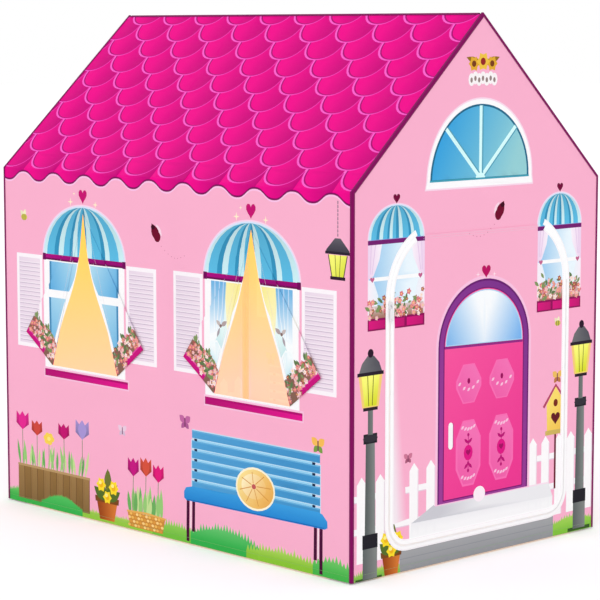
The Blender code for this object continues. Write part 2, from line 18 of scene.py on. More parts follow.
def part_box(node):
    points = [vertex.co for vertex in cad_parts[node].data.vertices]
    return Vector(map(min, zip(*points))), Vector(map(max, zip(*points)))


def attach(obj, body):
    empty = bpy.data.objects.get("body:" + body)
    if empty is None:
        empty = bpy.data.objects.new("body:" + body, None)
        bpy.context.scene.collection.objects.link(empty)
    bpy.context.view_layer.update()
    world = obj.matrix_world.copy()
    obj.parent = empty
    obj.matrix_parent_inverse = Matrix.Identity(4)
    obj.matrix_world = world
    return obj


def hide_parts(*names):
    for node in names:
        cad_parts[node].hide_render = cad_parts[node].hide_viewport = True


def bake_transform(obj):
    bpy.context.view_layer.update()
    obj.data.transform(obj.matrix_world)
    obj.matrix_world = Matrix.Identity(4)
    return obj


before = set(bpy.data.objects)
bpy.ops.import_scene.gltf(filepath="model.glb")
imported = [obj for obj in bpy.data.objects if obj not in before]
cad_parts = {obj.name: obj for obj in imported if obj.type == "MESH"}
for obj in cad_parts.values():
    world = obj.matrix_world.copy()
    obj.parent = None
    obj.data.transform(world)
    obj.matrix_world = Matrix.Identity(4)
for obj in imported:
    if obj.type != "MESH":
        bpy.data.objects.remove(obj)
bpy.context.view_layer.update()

# %% [markdown]
# ## Sizes
# The cover's corners decide everything else, so they come first. They repeat the model's own
# sizes, and the last line prints where the side panel, as it was packed, starts from the cover's face.

# %% Sizes in metres
MM = 0.001
COVER_WIDTH, COVER_LENGTH = 0.680, 1.030
EAVE_HEIGHT, RIDGE_HEIGHT = 0.705, 1.020
CLOTH = 0.8 * MM
GAP = 0.3 * MM
HALF_WIDTH, HALF_LENGTH = COVER_WIDTH / 2, COVER_LENGTH / 2
PITCH = math.atan2(RIDGE_HEIGHT - EAVE_HEIGHT, HALF_WIDTH)
side_low, side_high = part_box("left_side_panel")
gable_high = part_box("front_wall")[1]
HEM = side_low.z
SIDE_REACH = side_high.y
ROOF_TOP = EAVE_HEIGHT + (side_high.z - EAVE_HEIGHT) / math.sin(PITCH)
GABLE_REACH = gable_high.x
FLAP_OUT = GAP + CLOTH
WINDOW_ASIDE, WINDOW_HALF, SILL, WINDOW_TOP = 0.250, 0.105, 0.305, 0.625
print("side panel starts at", round(side_low.x + HALF_WIDTH, 6), "from the cover's face")

# %% [markdown]
# ## Small tools for materials
# A material is a handful of nodes joined by links. These few functions make the nodes, so that each
# material further down reads as a short list of what it is made of.

# %% Node helpers
def paint_of(name):
    """A new material, with its tree and its main shader."""
    paint = bpy.data.materials.new(name)
    paint.use_nodes = True
    return paint, paint.node_tree, paint.node_tree.nodes["Principled BSDF"]


def add(tree, kind, **settings):
    """A new node. A setting named after an input is that input's value. Others are the node's own."""
    made = tree.nodes.new(kind)
    for key, value in settings.items():
        if key in made.inputs:
            made.inputs[key].default_value = value
        else:
            setattr(made, key, value)
    return made


def math_node(tree, operation, first, second):
    made = add(tree, "ShaderNodeMath", operation=operation)
    for socket, value in zip(made.inputs, (first, second)):
        if isinstance(value, (int, float)):
            socket.default_value = value
        else:
            tree.links.new(value, socket)
    return made.outputs[0]


def blend_colours(tree, kind, share, first, second):
    made = add(tree, "ShaderNodeMix", data_type="RGBA", blend_type=kind)
    for socket, value in ((made.inputs[0], share), (made.inputs[6], first), (made.inputs[7], second)):
        if isinstance(value, (int, float, tuple)):
            socket.default_value = value
        else:
            tree.links.new(value, socket)
    return made.outputs[2]


def group_of(name, inputs, outputs):
    """A node group with named inputs and outputs, and its two end nodes."""
    group = bpy.data.node_groups.new(name, "ShaderNodeTree")
    for label, kind, value in inputs:
        socket = group.interface.new_socket(label, in_out="INPUT", socket_type="NodeSocket" + kind)
        if value is not None:
            socket.default_value = value
    for label, kind in outputs:
        group.interface.new_socket(label, in_out="OUTPUT", socket_type="NodeSocket" + kind)
    return group, group.nodes.new("NodeGroupInput"), group.nodes.new("NodeGroupOutput")


def placed(tree, group, **values):
    made = add(tree, "ShaderNodeGroup", node_tree=group)
    for label, value in values.items():
        made.inputs[label.replace("_", " ")].default_value = value
    return made


print("node helpers ready")

# %% [markdown]
# ## Camera, floor and light
# The photograph was taken with a long lens, off the front left corner and from nearly as high as
# the ridge. The floor is white, the sky is an even white and one broad lamp gives the walls a little
# shape. The sky is a little brighter to the camera than the light that it sheds on the cloth.

# %% Camera
CAMERA_PLACE = Vector((-3.129, -3.313, 0.987))
CAMERA_AIM = Vector((0.6844, 0.7194, -0.1186))
lens = bpy.data.cameras.new("camera")
lens.sensor_width, lens.lens = 36, 135.2
camera = bpy.data.objects.new("camera", lens)
camera.location = CAMERA_PLACE
camera.rotation_mode = "QUATERNION"
camera.rotation_quaternion = CAMERA_AIM.to_track_quat("-Z", "Y")
bpy.context.scene.collection.objects.link(camera)
bpy.context.scene.camera = camera
bpy.context.scene.view_settings.view_transform = "Standard"
print("camera looks along", CAMERA_AIM)

# %% Light
SKY_STRENGTH = 0.84
LAMP_STRENGTH = 0.75
world = bpy.data.worlds.new("studio")
world.use_nodes = True
bpy.context.scene.world = world
sky = world.node_tree
sky.nodes.clear()
seen = add(sky, "ShaderNodeBackground", Strength=1, Color=(1, 1, 1, 1))
lit = add(sky, "ShaderNodeBackground", Strength=SKY_STRENGTH, Color=(1, 1, 1, 1))
rays, choice = add(sky, "ShaderNodeLightPath"), add(sky, "ShaderNodeMixShader")
either = math_node(sky, "MAXIMUM", rays.outputs["Is Camera Ray"], rays.outputs["Is Glossy Ray"])
for number, value in enumerate((either, lit.outputs[0], seen.outputs[0])):
    sky.links.new(value, choice.inputs[number])
sky.links.new(choice.outputs[0], add(sky, "ShaderNodeOutputWorld").inputs[0])
sun = bpy.data.lights.new("window_light", "SUN")
sun.energy, sun.angle = LAMP_STRENGTH, math.radians(35)
lamp = bpy.data.objects.new("window_light", sun)
lamp.rotation_euler = Vector((0.56, 0.52, -0.64)).to_track_quat("-Z", "Y").to_euler()
bpy.context.scene.collection.objects.link(lamp)
print("light: sky", SKY_STRENGTH, "lamp", LAMP_STRENGTH)

# %% Floor
FLOOR_HALF = 30.0
FLOOR_GLOW = 0.16
shape = bmesh.new()
bmesh.ops.create_grid(shape, x_segments=1, y_segments=1, size=FLOOR_HALF)
floor_mesh = bpy.data.meshes.new("floor")
shape.to_mesh(floor_mesh)
shape.free()
floor = bpy.data.objects.new("floor", floor_mesh)
bpy.context.scene.collection.objects.link(floor)
floor_paint, floor_tree, floor_shader = paint_of("floor")
for label, value in (("Base Color", (0.93, 0.93, 0.93, 1)), ("Roughness", 0.9), ("Specular IOR Level", 0),
                     ("Emission Color", (1, 1, 1, 1))):
    floor_shader.inputs[label].default_value = value
to_camera = add(floor_tree, "ShaderNodeLightPath").outputs["Is Camera Ray"]
floor_glow = math_node(floor_tree, "MULTIPLY", to_camera, FLOOR_GLOW)
floor_tree.links.new(floor_glow, floor_shader.inputs["Emission Strength"])
floor_mesh.materials.append(floor_paint)
print("floor:", 2 * FLOOR_HALF, "m square")

# %% [markdown]
# ## Printed cloth
# The real cover is polyester printed before it is cut, so one picture runs over walls, flaps and
# roof. A picture could be an image texture, but then it would be a file of pixels. Here it is drawn
# like a paper collage: outlines with a colour each, laid one over another. A triangulation that
# follows every outline turns the collage into one cloth mesh, and each face keeps its own colour in
# an attribute, so the edges of the print stay sharp however near the eye comes.

# %% Inks
def fade(first, last, start, end):
    """An ink that runs from one colour at a point to another at a second point."""
    run = Vector(end) - Vector(start)
    def mixed(u, v):
        share = (Vector((u, v)) - Vector(start)).dot(run) / run.length_squared
        share = min(max(share, 0), 1)
        return [a + share * (b - a) for a, b in zip(first, last)]
    return mixed


def dye(ink, u, v):
    """An ink's colour at a place, as the linear light that materials work in."""
    shares = [tone / 255 for tone in (ink(u, v) if callable(ink) else ink)]
    return (*(s / 12.92 if s < 10 / 255 else ((s + 0.055) / 1.055) ** 2.4 for s in shares), 1)


print("wall pink as light:", [round(value, 3) for value in dye((247, 175, 205), 0, 0)])

# %% Outlines
def box(u0, v0, u1, v1):
    return [(u0, v0), (u1, v0), (u1, v1), (u0, v1)]


def oval(u, v, reach, rise, points=20, start=0.0, stop=math.tau):
    """Points round an oval. A part of one ends at its stop angle instead of closing."""
    whole = stop - start > 6.28
    turns = [start + (stop - start) * n / (points if whole else points - 1) for n in range(points)]
    return [(u + reach * math.cos(turn), v + rise * math.sin(turn)) for turn in turns]


def arch(u, v, reach, rise, points=37):
    """The upper half of an oval."""
    return oval(u, v, reach, rise, points, 0, math.pi)


def block(u, half, low, high):
    """A box that reaches equally far to both sides of a place."""
    return box(u - half, low, u + half, high)


def mirrored(u, *levels):
    """An outline with the same half width on both sides of a place at each of its levels."""
    left, right = [(u - half, v) for half, v in levels], [(u + half, v) for half, v in levels]
    return [left[0], *right, *left[:0:-1]]


def star(u, v, reaches, points):
    """Points round a place, at two reaches that take turns."""
    turns = [(reaches[n % 2], n * math.tau / points) for n in range(points)]
    return [(u + reach * math.cos(turn), v + reach * math.sin(turn)) for reach, turn in turns]


def heart(u, v, size, tall=1.0):
    """A heart whose point is down, as wide as its size."""
    turns = [math.tau * n / 18 for n in range(18)]
    across = [16 * math.sin(turn) ** 3 for turn in turns]
    up = [13 * math.cos(t) - 5 * math.cos(2 * t) - 2 * math.cos(3 * t) - math.cos(4 * t) for t in turns]
    return [(u + size * a / 32, v + tall * size * b / 32) for a, b in reversed(list(zip(across, up)))]


def leaf(u0, v0, u1, v1, width):
    """A pointed leaf from one point to another."""
    run = Vector((u1 - u0, v1 - v0))
    side = Vector((-run.y, run.x)).normalized() * width / 2
    stem = Vector((u0, v0))
    steps = [n / 6 for n in range(1, 6)]
    right = [stem + share * run - side * math.sin(math.pi * share) for share in steps]
    left = [stem + share * run + side * math.sin(math.pi * share) for share in reversed(steps)]
    return [(u0, v0), *map(tuple, right), (u1, v1), *map(tuple, left)]


def band(points, width):
    """A line of points given a width, closed round into an outline."""
    points = [Vector(point) for point in points]
    sides = []
    for n, point in enumerate(points):
        run = (points[min(n + 1, len(points) - 1)] - points[max(n - 1, 0)]).normalized()
        sides.append(Vector((run.y, -run.x)) * width / 2)
    right = [tuple(point + side) for point, side in zip(points, sides)]
    left = [tuple(point - side) for point, side in zip(points, sides)]
    return right + left[::-1]


def stroke(width, ink, *points):
    """A line as if drawn by a pen: its outline and its ink."""
    return band(points, width), ink


print("a heart has", len(heart(0, 0, 1)), "points")

# %% One cloth from a collage
GRID = 12 * MM
MERGE = 0.01 * MM


def anticlockwise(outline):
    area = sum(a[0] * b[1] - b[0] * a[1] for a, b in zip(outline, outline[1:] + outline[:1]))
    return outline if area > 0 else outline[::-1]


def reaches(outline, low, high):
    """Whether an outline's box touches another box."""
    us, vs = zip(*outline)
    return min(us) < high[0] and max(us) > low[0] and min(vs) < high[1] and max(vs) > low[1]


def grid_points(low, high, rows):
    """Loose points inside a box, so that the cloth can bend and its fades stay smooth."""
    columns = [low[0] + GRID * (n + 0.5) for n in range(int((high[0] - low[0]) / GRID))]
    levels = [low[1] + GRID * (n + 0.5) for n in range(int((high[1] - low[1]) / GRID))]
    return [(u + 0.1 * MM * (n % 3), v) for v in sorted(levels + list(rows)) for n, u in enumerate(columns)]


def inside(us, vs, outline):
    """Which of many places lie inside an outline, by counting the sides to their right."""
    within = np.zeros(len(us), bool)
    for (u0, v0), (u1, v1) in zip(outline, outline[1:] + outline[:1]):
        if v0 == v1:
            continue
        crossing = (v0 > vs) != (v1 > vs)
        within ^= crossing & (us < u0 + (u1 - u0) * (vs - v0) / (v1 - v0))
    return within


def top_layers(spots, corners, outlines):
    """For each triangle, the number of the outline that lies on top there, or -1 off the cloth."""
    places = np.array([[spot.x, spot.y] for spot in spots])
    middles = places[np.array(corners)].mean(axis=1)
    us, vs = middles[:, 0], middles[:, 1]
    top = np.full(len(us), -1)
    cloth = inside(us, vs, outlines[0])
    for number, outline in enumerate(outlines):
        shape = np.array(outline)
        (u0, v0), (u1, v1) = shape.min(axis=0), shape.max(axis=0)
        near = np.nonzero((us >= u0) & (us <= u1) & (vs >= v0) & (vs <= v1))[0]
        top[near[inside(us[near], vs[near], outline)]] = number
    return np.where(cloth, top, -1)


def inks_at(places, art, ground):
    """The colour that lies on top of a print at each of some places."""
    us, vs = np.array(places).T
    shown = [ground] * len(us)
    for outline, ink in art:
        if not reaches(outline, (us.min(), vs.min()), (us.max(), vs.max())):
            continue
        for n in np.nonzero(inside(us, vs, outline))[0]:
            shown[n] = ink
    return [dye(ink, u, v) for ink, (u, v) in zip(shown, places)]


def collage(edge, holes, art, ground, rows=()):
    """A flat cloth with its print, as a bmesh in the panel's own across and up."""
    low, high = [[end(point[axis] for point in edge) for axis in (0, 1)] for end in (min, max)]
    pieces = [(edge, ground)] + [(outline, ink) for outline, ink in art if reaches(outline, low, high)]
    pieces += [(hole, None) for hole in holes]
    points, loops = [], []
    for outline, ink in pieces:
        loops.append(list(range(len(points), len(points) + len(outline))))
        points += anticlockwise(list(outline))
    points += grid_points(low, high, rows)
    sides = [side for loop in loops for side in zip(loop, loop[1:] + loop[:1])]
    spots, _, corners, _, _, _ = delaunay_2d_cdt([Vector(point) for point in points], sides, [], 0, MERGE)
    owners = top_layers(spots, corners, [outline for outline, _ in pieces])
    cloth = bmesh.new()
    map_layer = cloth.loops.layers.uv.new("cloth")
    dye_layer = cloth.loops.layers.float_color.new("print")
    verts = [cloth.verts.new((spot.x, spot.y, 0)) for spot in spots]
    for triangle, owner in zip(corners, owners):
        if owner < 0 or pieces[owner][1] is None:
            continue
        ink = pieces[owner][1]
        face = cloth.faces.new([verts[corner] for corner in triangle])
        for loop in face.loops:
            u, v = loop.vert.co.xy
            loop[map_layer].uv = (u, v)
            loop[dye_layer] = dye(ink, u, v)
    loose = [vert for vert in cloth.verts if not vert.link_faces]
    bmesh.ops.delete(cloth, geom=loose, context="VERTS")
    return cloth


sample = collage(box(0, 0, 0.1, 0.1), [], [(heart(0.05, 0.05, 0.05), (240, 15, 140))], (247, 175, 205))
print("a sample with one heart has", len(sample.faces), "faces")
sample.free()

# %% [markdown]
# ## Where the panels lie
# A print is drawn flat, so each panel needs a rule that takes a point of the drawing to its place on
# the tent. The side cloths run up the wall, round the eave and up the roof in one piece. Over the
# eave pole the real cloth makes a small round bend, so the rule does too.

# %% The side cloths' places
EAVE_BEND = 9 * MM
TURN = math.pi / 2 - PITCH
TANGENT = EAVE_BEND * math.tan(TURN / 2)
UP_ROOF = Vector((math.cos(PITCH), 0, math.sin(PITCH)))
OFF_ROOF = Vector((-math.sin(PITCH), 0, math.cos(PITCH)))
BEND_ROWS = [EAVE_HEIGHT - TANGENT + TANGENT * n / 3 for n in range(7)]


def left_place(u, v, out=0.0):
    """On the left cloth: u runs from the back to the front, v from the floor up and over."""
    past = v - EAVE_HEIGHT + TANGENT
    if past <= 0:
        return Vector((-HALF_WIDTH - out, -u, v))
    if past >= 2 * TANGENT:
        return Vector((-HALF_WIDTH, -u, EAVE_HEIGHT)) + (v - EAVE_HEIGHT) * UP_ROOF + out * OFF_ROOF
    angle = TURN * past / (2 * TANGENT)
    centre = Vector((EAVE_BEND - HALF_WIDTH, -u, EAVE_HEIGHT - TANGENT))
    return centre + (EAVE_BEND + out) * Vector((-math.cos(angle), 0, math.sin(angle)))


def right_place(u, v, out=0.0):
    """On the right cloth, which is the left one turned half round."""
    place = left_place(u, v, out)
    return Vector((-place.x, -place.y, place.z))


print("the roof slope starts at", left_place(0, EAVE_HEIGHT + TANGENT))

# %% The gables' places
def front_place(u, v, out=0.0):
    return Vector((u, -HALF_LENGTH - out, v))


def rear_place(u, v, out=0.0):
    return Vector((-u, HALF_LENGTH + out, v))


def gable(inset):
    """The gable's outline, moved in from the cover's faces."""
    peak = RIDGE_HEIGHT - inset / math.cos(PITCH)
    eave = peak - (HALF_WIDTH - inset) * math.tan(PITCH)
    right = [(HALF_WIDTH - inset, HEM), (HALF_WIDTH - inset, eave)]
    return [(-right[0][0], HEM), *right, (0, peak), (-right[1][0], eave)]


print("the gable peaks at", gable(0.005)[3])

# %% [markdown]
# ## How tight the cloth is
# The frame pushes the cloth tight at the corners, the eaves and the ridge. Between them it hangs a
# little hollow, and the hem waves where nothing pulls it down. Round the windows and the zip the
# doubled, stitched cloth stays flat, so the slack fades out there.

# %% Slack
SAG = 5.5 * MM
RIPPLE = 1.4 * MM
# where the slack fades in or out, each as the two ends of a soft step
NEAR_ENDS, ROOF_MIDDLE = (0.38, 0.47), (0.2, 0.49)
OVER_HEM, UNDER_EAVE, UNDER_PEAK = (0.05, 0.12), (0.60, 0.66), (0.84, 0.95)
BESIDE_WINDOW, UNDER_WINDOW = (0.20, 0.245), (0.235, 0.28)
GABLE_SIDES, OVER_DOOR = (0.20, 0.29), (0.64, 0.70)


def rise(value, low, high):
    """From 0 at low to 1 at high, with soft ends."""
    share = min(max((value - low) / (high - low), 0), 1)
    return share * share * (3 - 2 * share)


def ripple(u, v, seed):
    return noise.noise(Vector((u * 9, v * 5, seed))) + 0.5 * noise.noise(Vector((u * 21, v * 13, seed + 7)))


def side_slack(u, v, windows=True):
    """How far out of its plane a side cloth stands. Less than nothing is inwards."""
    ends = 1 - rise(abs(u), *NEAR_ENDS)
    if v > EAVE_HEIGHT:
        up = (v - EAVE_HEIGHT) / (ROOF_TOP - EAVE_HEIGHT)
        hollow = math.sin(math.pi * min(up, 1)) ** 0.8
        across = 1 - rise(abs(u), *ROOF_MIDDLE) * 0.999
        return -SAG * hollow * (0.35 + 0.65 * across) * ends - RIPPLE * hollow * ends * (1 + ripple(u, v, 3))
    wall = rise(v, *OVER_HEM) * (1 - rise(v, *UNDER_EAVE))
    near = 0.0
    if windows:
        aside = abs(abs(u) - WINDOW_ASIDE)
        near = (1 - rise(aside, *BESIDE_WINDOW)) * rise(v, *UNDER_WINDOW)
    return -RIPPLE * wall * ends * (1 - near) * (1.2 + ripple(u, v, 5))


def whole_slack(u, v):
    return side_slack(u, v, False)


def gable_slack(u, v, doorway=True):
    inner = 1 - rise(abs(u) + max(v - 0.62, 0) * 0.9, *GABLE_SIDES)
    wall = rise(v, *OVER_HEM) * (1 - rise(v, *UNDER_PEAK)) * inner
    if doorway:
        wall *= rise(v, *OVER_DOOR)
    return -RIPPLE * wall * (1.1 + ripple(u, v, 11))


def whole_gable_slack(u, v):
    return gable_slack(u, v, False)


def no_slack(u, v):
    return 0.0


print("the roof hangs", round(-side_slack(0, 0.93) / MM, 1), "mm hollow at its middle")

# %% [markdown]
# ## Cloth materials
# The cloth is a thin plain weave. Its threads are finer than a pixel from a few steps away, but they
# decide how the light rolls over it, so one node group draws both the threads and the soft creases
# of a cover that has lain folded in its box. Every cloth, tape and lining uses that group.

# %% The weave group
weave, weave_in, weave_out = group_of(
    "weave_and_creases",
    [("Place", "Vector", None), ("Threads", "Float", 700.0), ("Crease Size", "Float", 9.0),
     ("Soil", "Float", 0.04)],
    [("Threads Height", "Float"), ("Crease Height", "Float"), ("Tone", "Float"), ("Shine", "Float")],
)
warp = add(weave, "ShaderNodeTexWave", bands_direction="X")
weft = add(weave, "ShaderNodeTexWave", bands_direction="Y")
for threads in (warp, weft):
    weave.links.new(weave_in.outputs["Place"], threads.inputs["Vector"])
    weave.links.new(weave_in.outputs["Threads"], threads.inputs["Scale"])
over = math_node(weave, "MAXIMUM", warp.outputs["Fac"], weft.outputs["Fac"])
creases = add(weave, "ShaderNodeTexNoise", Detail=3.0, Roughness=0.45, Distortion=0.6)
cloud = add(weave, "ShaderNodeTexNoise", Scale=3.0, Detail=4.0)
for pattern in (creases, cloud):
    weave.links.new(weave_in.outputs["Place"], pattern.inputs["Vector"])
weave.links.new(weave_in.outputs["Crease Size"], creases.inputs["Scale"])
soiled = math_node(weave, "MULTIPLY", cloud.outputs["Fac"], weave_in.outputs["Soil"])
thread_tone = math_node(weave, "MULTIPLY", over, 0.03)
tone = math_node(weave, "SUBTRACT", math_node(weave, "ADD", 1.0, thread_tone), soiled)
shine = math_node(weave, "ADD", 0.52, math_node(weave, "MULTIPLY", cloud.outputs["Fac"], 0.16))
drawn = {"Threads Height": over, "Crease Height": creases.outputs["Fac"], "Tone": tone, "Shine": shine}
for label, value in drawn.items():
    weave.links.new(value, weave_out.inputs[label])
print("weave group:", len(weave.nodes), "nodes")

# %% Materials that use it
THREAD_PITCH = 0.45 * MM
THREADS = math.tau / 20 / THREAD_PITCH
# how strongly the inner face glows by emission: painted light, as cloth is no lamp
LINING_GLOW = 0.42


def woven(name, source, threads=THREADS, crease=9.0, crease_depth=1.6 * MM, soil=0.04, sheen=0.01):
    """A woven material. Its source is an ink, or makes the colour from the tree, and the weave shades it."""
    paint, tree, shader = paint_of(name)
    place = add(tree, "ShaderNodeUVMap", uv_map="cloth").outputs[0]
    fabric = placed(tree, weave, Threads=threads, Crease_Size=crease, Soil=soil)
    tree.links.new(place, fabric.inputs["Place"])
    grey = add(tree, "ShaderNodeCombineColor")
    for channel in range(3):
        tree.links.new(fabric.outputs["Tone"], grey.inputs[channel])
    plain = source(tree) if callable(source) else dye(source, 0, 0)
    colour = blend_colours(tree, "MULTIPLY", 1.0, plain, grey.outputs[0])
    tree.links.new(colour, shader.inputs["Base Color"])
    tree.links.new(fabric.outputs["Shine"], shader.inputs["Roughness"])
    fine = add(tree, "ShaderNodeBump", Strength=0.35, Distance=0.1 * MM)
    soft = add(tree, "ShaderNodeBump", Strength=0.6, Distance=crease_depth)
    tree.links.new(fabric.outputs["Crease Height"], soft.inputs["Height"])
    tree.links.new(fabric.outputs["Threads Height"], fine.inputs["Height"])
    tree.links.new(soft.outputs[0], fine.inputs["Normal"])
    tree.links.new(fine.outputs[0], shader.inputs["Normal"])
    shader.inputs["Sheen Weight"].default_value = sheen
    shader.inputs["Sheen Roughness"].default_value = 0.4
    shader.inputs["Specular IOR Level"].default_value = 0.05
    return paint, tree, shader, colour


def printed_colour(tree):
    return add(tree, "ShaderNodeVertexColor", layer_name="print").outputs["Color"]


def height_share(tree, low, high):
    """From 0 at a low height to 1 at a high one."""
    up, share = add(tree, "ShaderNodeSeparateXYZ"), add(tree, "ShaderNodeMapRange")
    share.inputs["From Min"].default_value, share.inputs["From Max"].default_value = low, high
    tree.links.new(add(tree, "ShaderNodeTexCoord").outputs["Object"], up.inputs[0])
    tree.links.new(up.outputs["Z"], share.inputs["Value"])
    return share.outputs[0]


def painted_glow_colour(tree):
    """Painted light: a warm glow, yellow under the roof and peach near the floor, stands in for daylight
    through the cloth, with a little of the print showing in it.
    """
    peach, yellow = dye((252, 217, 212), 0, 0), dye((248, 219, 112), 0, 0)
    warm = blend_colours(tree, "MIX", height_share(tree, 0.18, 0.52), peach, yellow)
    return blend_colours(tree, "MIX", 0.92, printed_colour(tree), warm)


print_cloth = woven("printed_cloth", printed_colour)[0]
# The inner face carries painted light: its warm colour is painted, and it glows by emission, from nothing at
# the floor to full strength 0.15 m up.
glow_lining, glow_lining_tree, glow_lining_shader, painted_glow_tint = woven("cloth_lining", painted_glow_colour)
glow_lining_tree.links.new(painted_glow_tint, glow_lining_shader.inputs["Emission Color"])
glow = math_node(glow_lining_tree, "MULTIPLY", height_share(glow_lining_tree, 0, 0.15), LINING_GLOW)
glow_lining_tree.links.new(glow, glow_lining_shader.inputs["Emission Strength"])


def back_colour(tree):
    """The bare back of printed cloth: nearly white, with the print showing through."""
    return blend_colours(tree, "MIX", 0.66, printed_colour(tree), dye((250, 236, 241), 0, 0))


print_back = woven("print_back", back_colour)[0]
print("cloth materials:", print_cloth.name, glow_lining.name, print_back.name)

# %% [markdown]
# ## From drawing to hanging cloth
# Each drawn panel is lifted to its place on the tent and then given its real thickness, inwards, so
# its printed face stays where the imported model has it. The inner face takes the lining, whose warm
# colour and glow are painted light. The imported panels that it stands for are hidden.

# %% Finish a cloth
CREASE = math.radians(50)


def keep(piece_bmesh, name, paints):
    """A bmesh made an object of the scene, smooth, with its materials."""
    mesh = bpy.data.meshes.new(name)
    piece_bmesh.to_mesh(mesh)
    piece_bmesh.free()
    for paint in paints:
        mesh.materials.append(paint)
    mesh.shade_smooth()
    mesh.set_sharp_from_angle(angle=CREASE)
    piece = bpy.data.objects.new(name, mesh)
    bpy.context.scene.collection.objects.link(piece)
    return piece


def fitted(pieces, body, slot, *nodes):
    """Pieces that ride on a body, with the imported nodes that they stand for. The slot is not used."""
    for piece in pieces:
        if nodes:
            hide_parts(*nodes)
        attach(piece, body)


def settled(piece):
    """The piece with its modifiers made part of its mesh."""
    bpy.context.view_layer.update()
    graph = bpy.context.evaluated_depsgraph_get()
    mesh = bpy.data.meshes.new_from_object(piece.evaluated_get(graph), depsgraph=graph)
    piece.modifiers.clear()
    piece.data = mesh
    mesh.set_sharp_from_angle(angle=CREASE)
    return piece


def hung(name, cloth, place, slack, inside=glow_lining, thickness=CLOTH):
    """A collage in its place on the tent, with its thickness behind its printed face."""
    for vert in cloth.verts:
        u, v, _ = vert.co
        vert.co = place(u, v, slack(u, v))
    piece = keep(cloth, name, [print_cloth, inside])
    thick = piece.modifiers.new("thickness", "SOLIDIFY")
    thick.thickness, thick.offset, thick.material_offset = thickness, -1, 1
    thick.material_offset_rim = 0
    return settled(piece)


def stepped(outline, step=GRID):
    """An outline with extra points, so that no side of it is longer than the step."""
    points = []
    for start, end in zip(outline, outline[1:] + outline[:1]):
        count = max(1, math.ceil(math.dist(start, end) / step))
        across, up = end[0] - start[0], end[1] - start[1]
        points += [(start[0] + across * n / count, start[1] + up * n / count) for n in range(count)]
    return points


print("cloth is", CLOTH / MM, "mm thick")

# %% [markdown]
# ## The roof's print
# The roof is printed with rounded tiles in rows, each row half a tile along from the last and lapped
# over the row below. A tile is a fading body with two thin crescents along its lower edge: a bright
# one where light would catch it, and a dark one just inside. Below the eave the print ends in a row
# of scallops.

# %% Roof tiles
TILE, COURSE, TILE_DROP = 0.1010, 0.0478, 0.0490
TILE_START, FIRST_COURSE = 0.0058, 0.7075
ROOF_PINK, ROOF_DEEP = (240, 0, 140), (198, 0, 122)
TILE_LIGHT, TILE_LIGHT_THIN, TILE_SHADE = (248, 96, 204), (238, 62, 180), (158, 2, 108)
SCALLOP_LOW, SCALLOP_RISE, SCALLOP_START = 0.684, 0.0185, TILE_START + 0.53 * TILE
SCALLOP_HEAD = 0.75


def tile_curve(across, base, half, drop, points=15):
    """The lower edge of a rounded tile, from its left top corner to its right one."""
    places = []
    for n in range(points):
        x = -math.cos(math.pi * n / (points - 1))
        places.append((across + half * x, base + drop * (1 - (1 - abs(x) ** 2.2) ** (1 / 2.2))))
    return places


def tile(across, base):
    outer = tile_curve(across, base, TILE / 2, TILE_DROP)
    lit = tile_curve(across + 1.2 * MM, base + 3.1 * MM, TILE / 2 - 3.2 * MM, TILE_DROP - 2.1 * MM)
    dark = tile_curve(across + 2.3 * MM, base + 5.2 * MM, TILE / 2 - 5.2 * MM, TILE_DROP - 3.9 * MM)
    body = fade(ROOF_PINK, ROOF_DEEP, (across - 0.02, base), (across + 0.045, base))
    bright = fade(TILE_LIGHT, TILE_LIGHT_THIN, (across - 0.02, base), (across + 0.03, base))
    shade = fade(TILE_SHADE, ROOF_DEEP, (across - 0.045, base), (across + 0.02, base + 0.02))
    top = base + 2 * COURSE
    lap = outer + [(across + TILE / 2, top), (across - TILE / 2, top)]
    return [(lap, body), (outer + dark[::-1], shade), (outer + lit[::-1], bright)]


def scallop(number, lower):
    """One lobe of the wavy lower edge of the roof's print, closed above it."""
    edge = []
    for n in range(15):
        wave = (1 + math.cos(n * math.tau / 14)) / 2
        steep = wave * (0.4 + 0.6 * wave * (3 - 2 * wave))
        edge.append((SCALLOP_START + (number + n / 14) * TILE, SCALLOP_LOW - lower + SCALLOP_RISE * steep))
    return edge + [(edge[-1][0], SCALLOP_HEAD), (edge[0][0], SCALLOP_HEAD)]


def roof_print():
    art = []
    for lower, ink in ((7 * MM, (252, 196, 232)), (3.6 * MM, (128, 6, 92)), (0, None)):
        for n in range(-6, 6):
            left = SCALLOP_START + n * TILE
            tint = ink or fade(ROOF_PINK, ROOF_DEEP, (left + 0.03, 0), (left + 0.095, 0))
            art.append((scallop(n, lower), tint))
    for row in range(11):
        for column in range(-6, 7):
            art += tile(TILE_START + (column - 0.5 * (row % 2)) * TILE, FIRST_COURSE + row * COURSE)
    return art


roof_art = roof_print()
print("the roof's print has", len(roof_art), "outlines")

# %% [markdown]
# ## A printed window
# Each side window is drawn closed: two panes with a rail, a striped dome over them, louvred shutters
# and a flower box. The real window is cut through this print from the sill to the dome, so the same
# drawing serves the wall, both flaps and the plain wall on the other side, where nothing is cut.

# %% Dome and shutters
PALE, BLUE, TEAL = (206, 242, 248), (92, 190, 230), (52, 150, 194)
GORE_EDGES = (
    -1, -0.93, -0.74, -0.63, -0.50, -0.34, -0.26, -0.15, -0.02, 0.09, 0.23, 0.46, 0.55, 0.66, 0.88, 1)
GORE_TONES = [PALE, BLUE, TEAL] * 4 + [PALE, BLUE, PALE]


def gore(across, base, reach, rise, left, right, points=9):
    """One stripe of a dome, between two shares of its half width."""
    turns = [math.pi / 2 * n / (points - 1) for n in range(points)]
    up = [(across + reach * right * math.cos(t), base + rise * math.sin(t)) for t in turns]
    down = [(across + reach * left * math.cos(t), base + rise * math.sin(t)) for t in reversed(turns[:-1])]
    return up + down


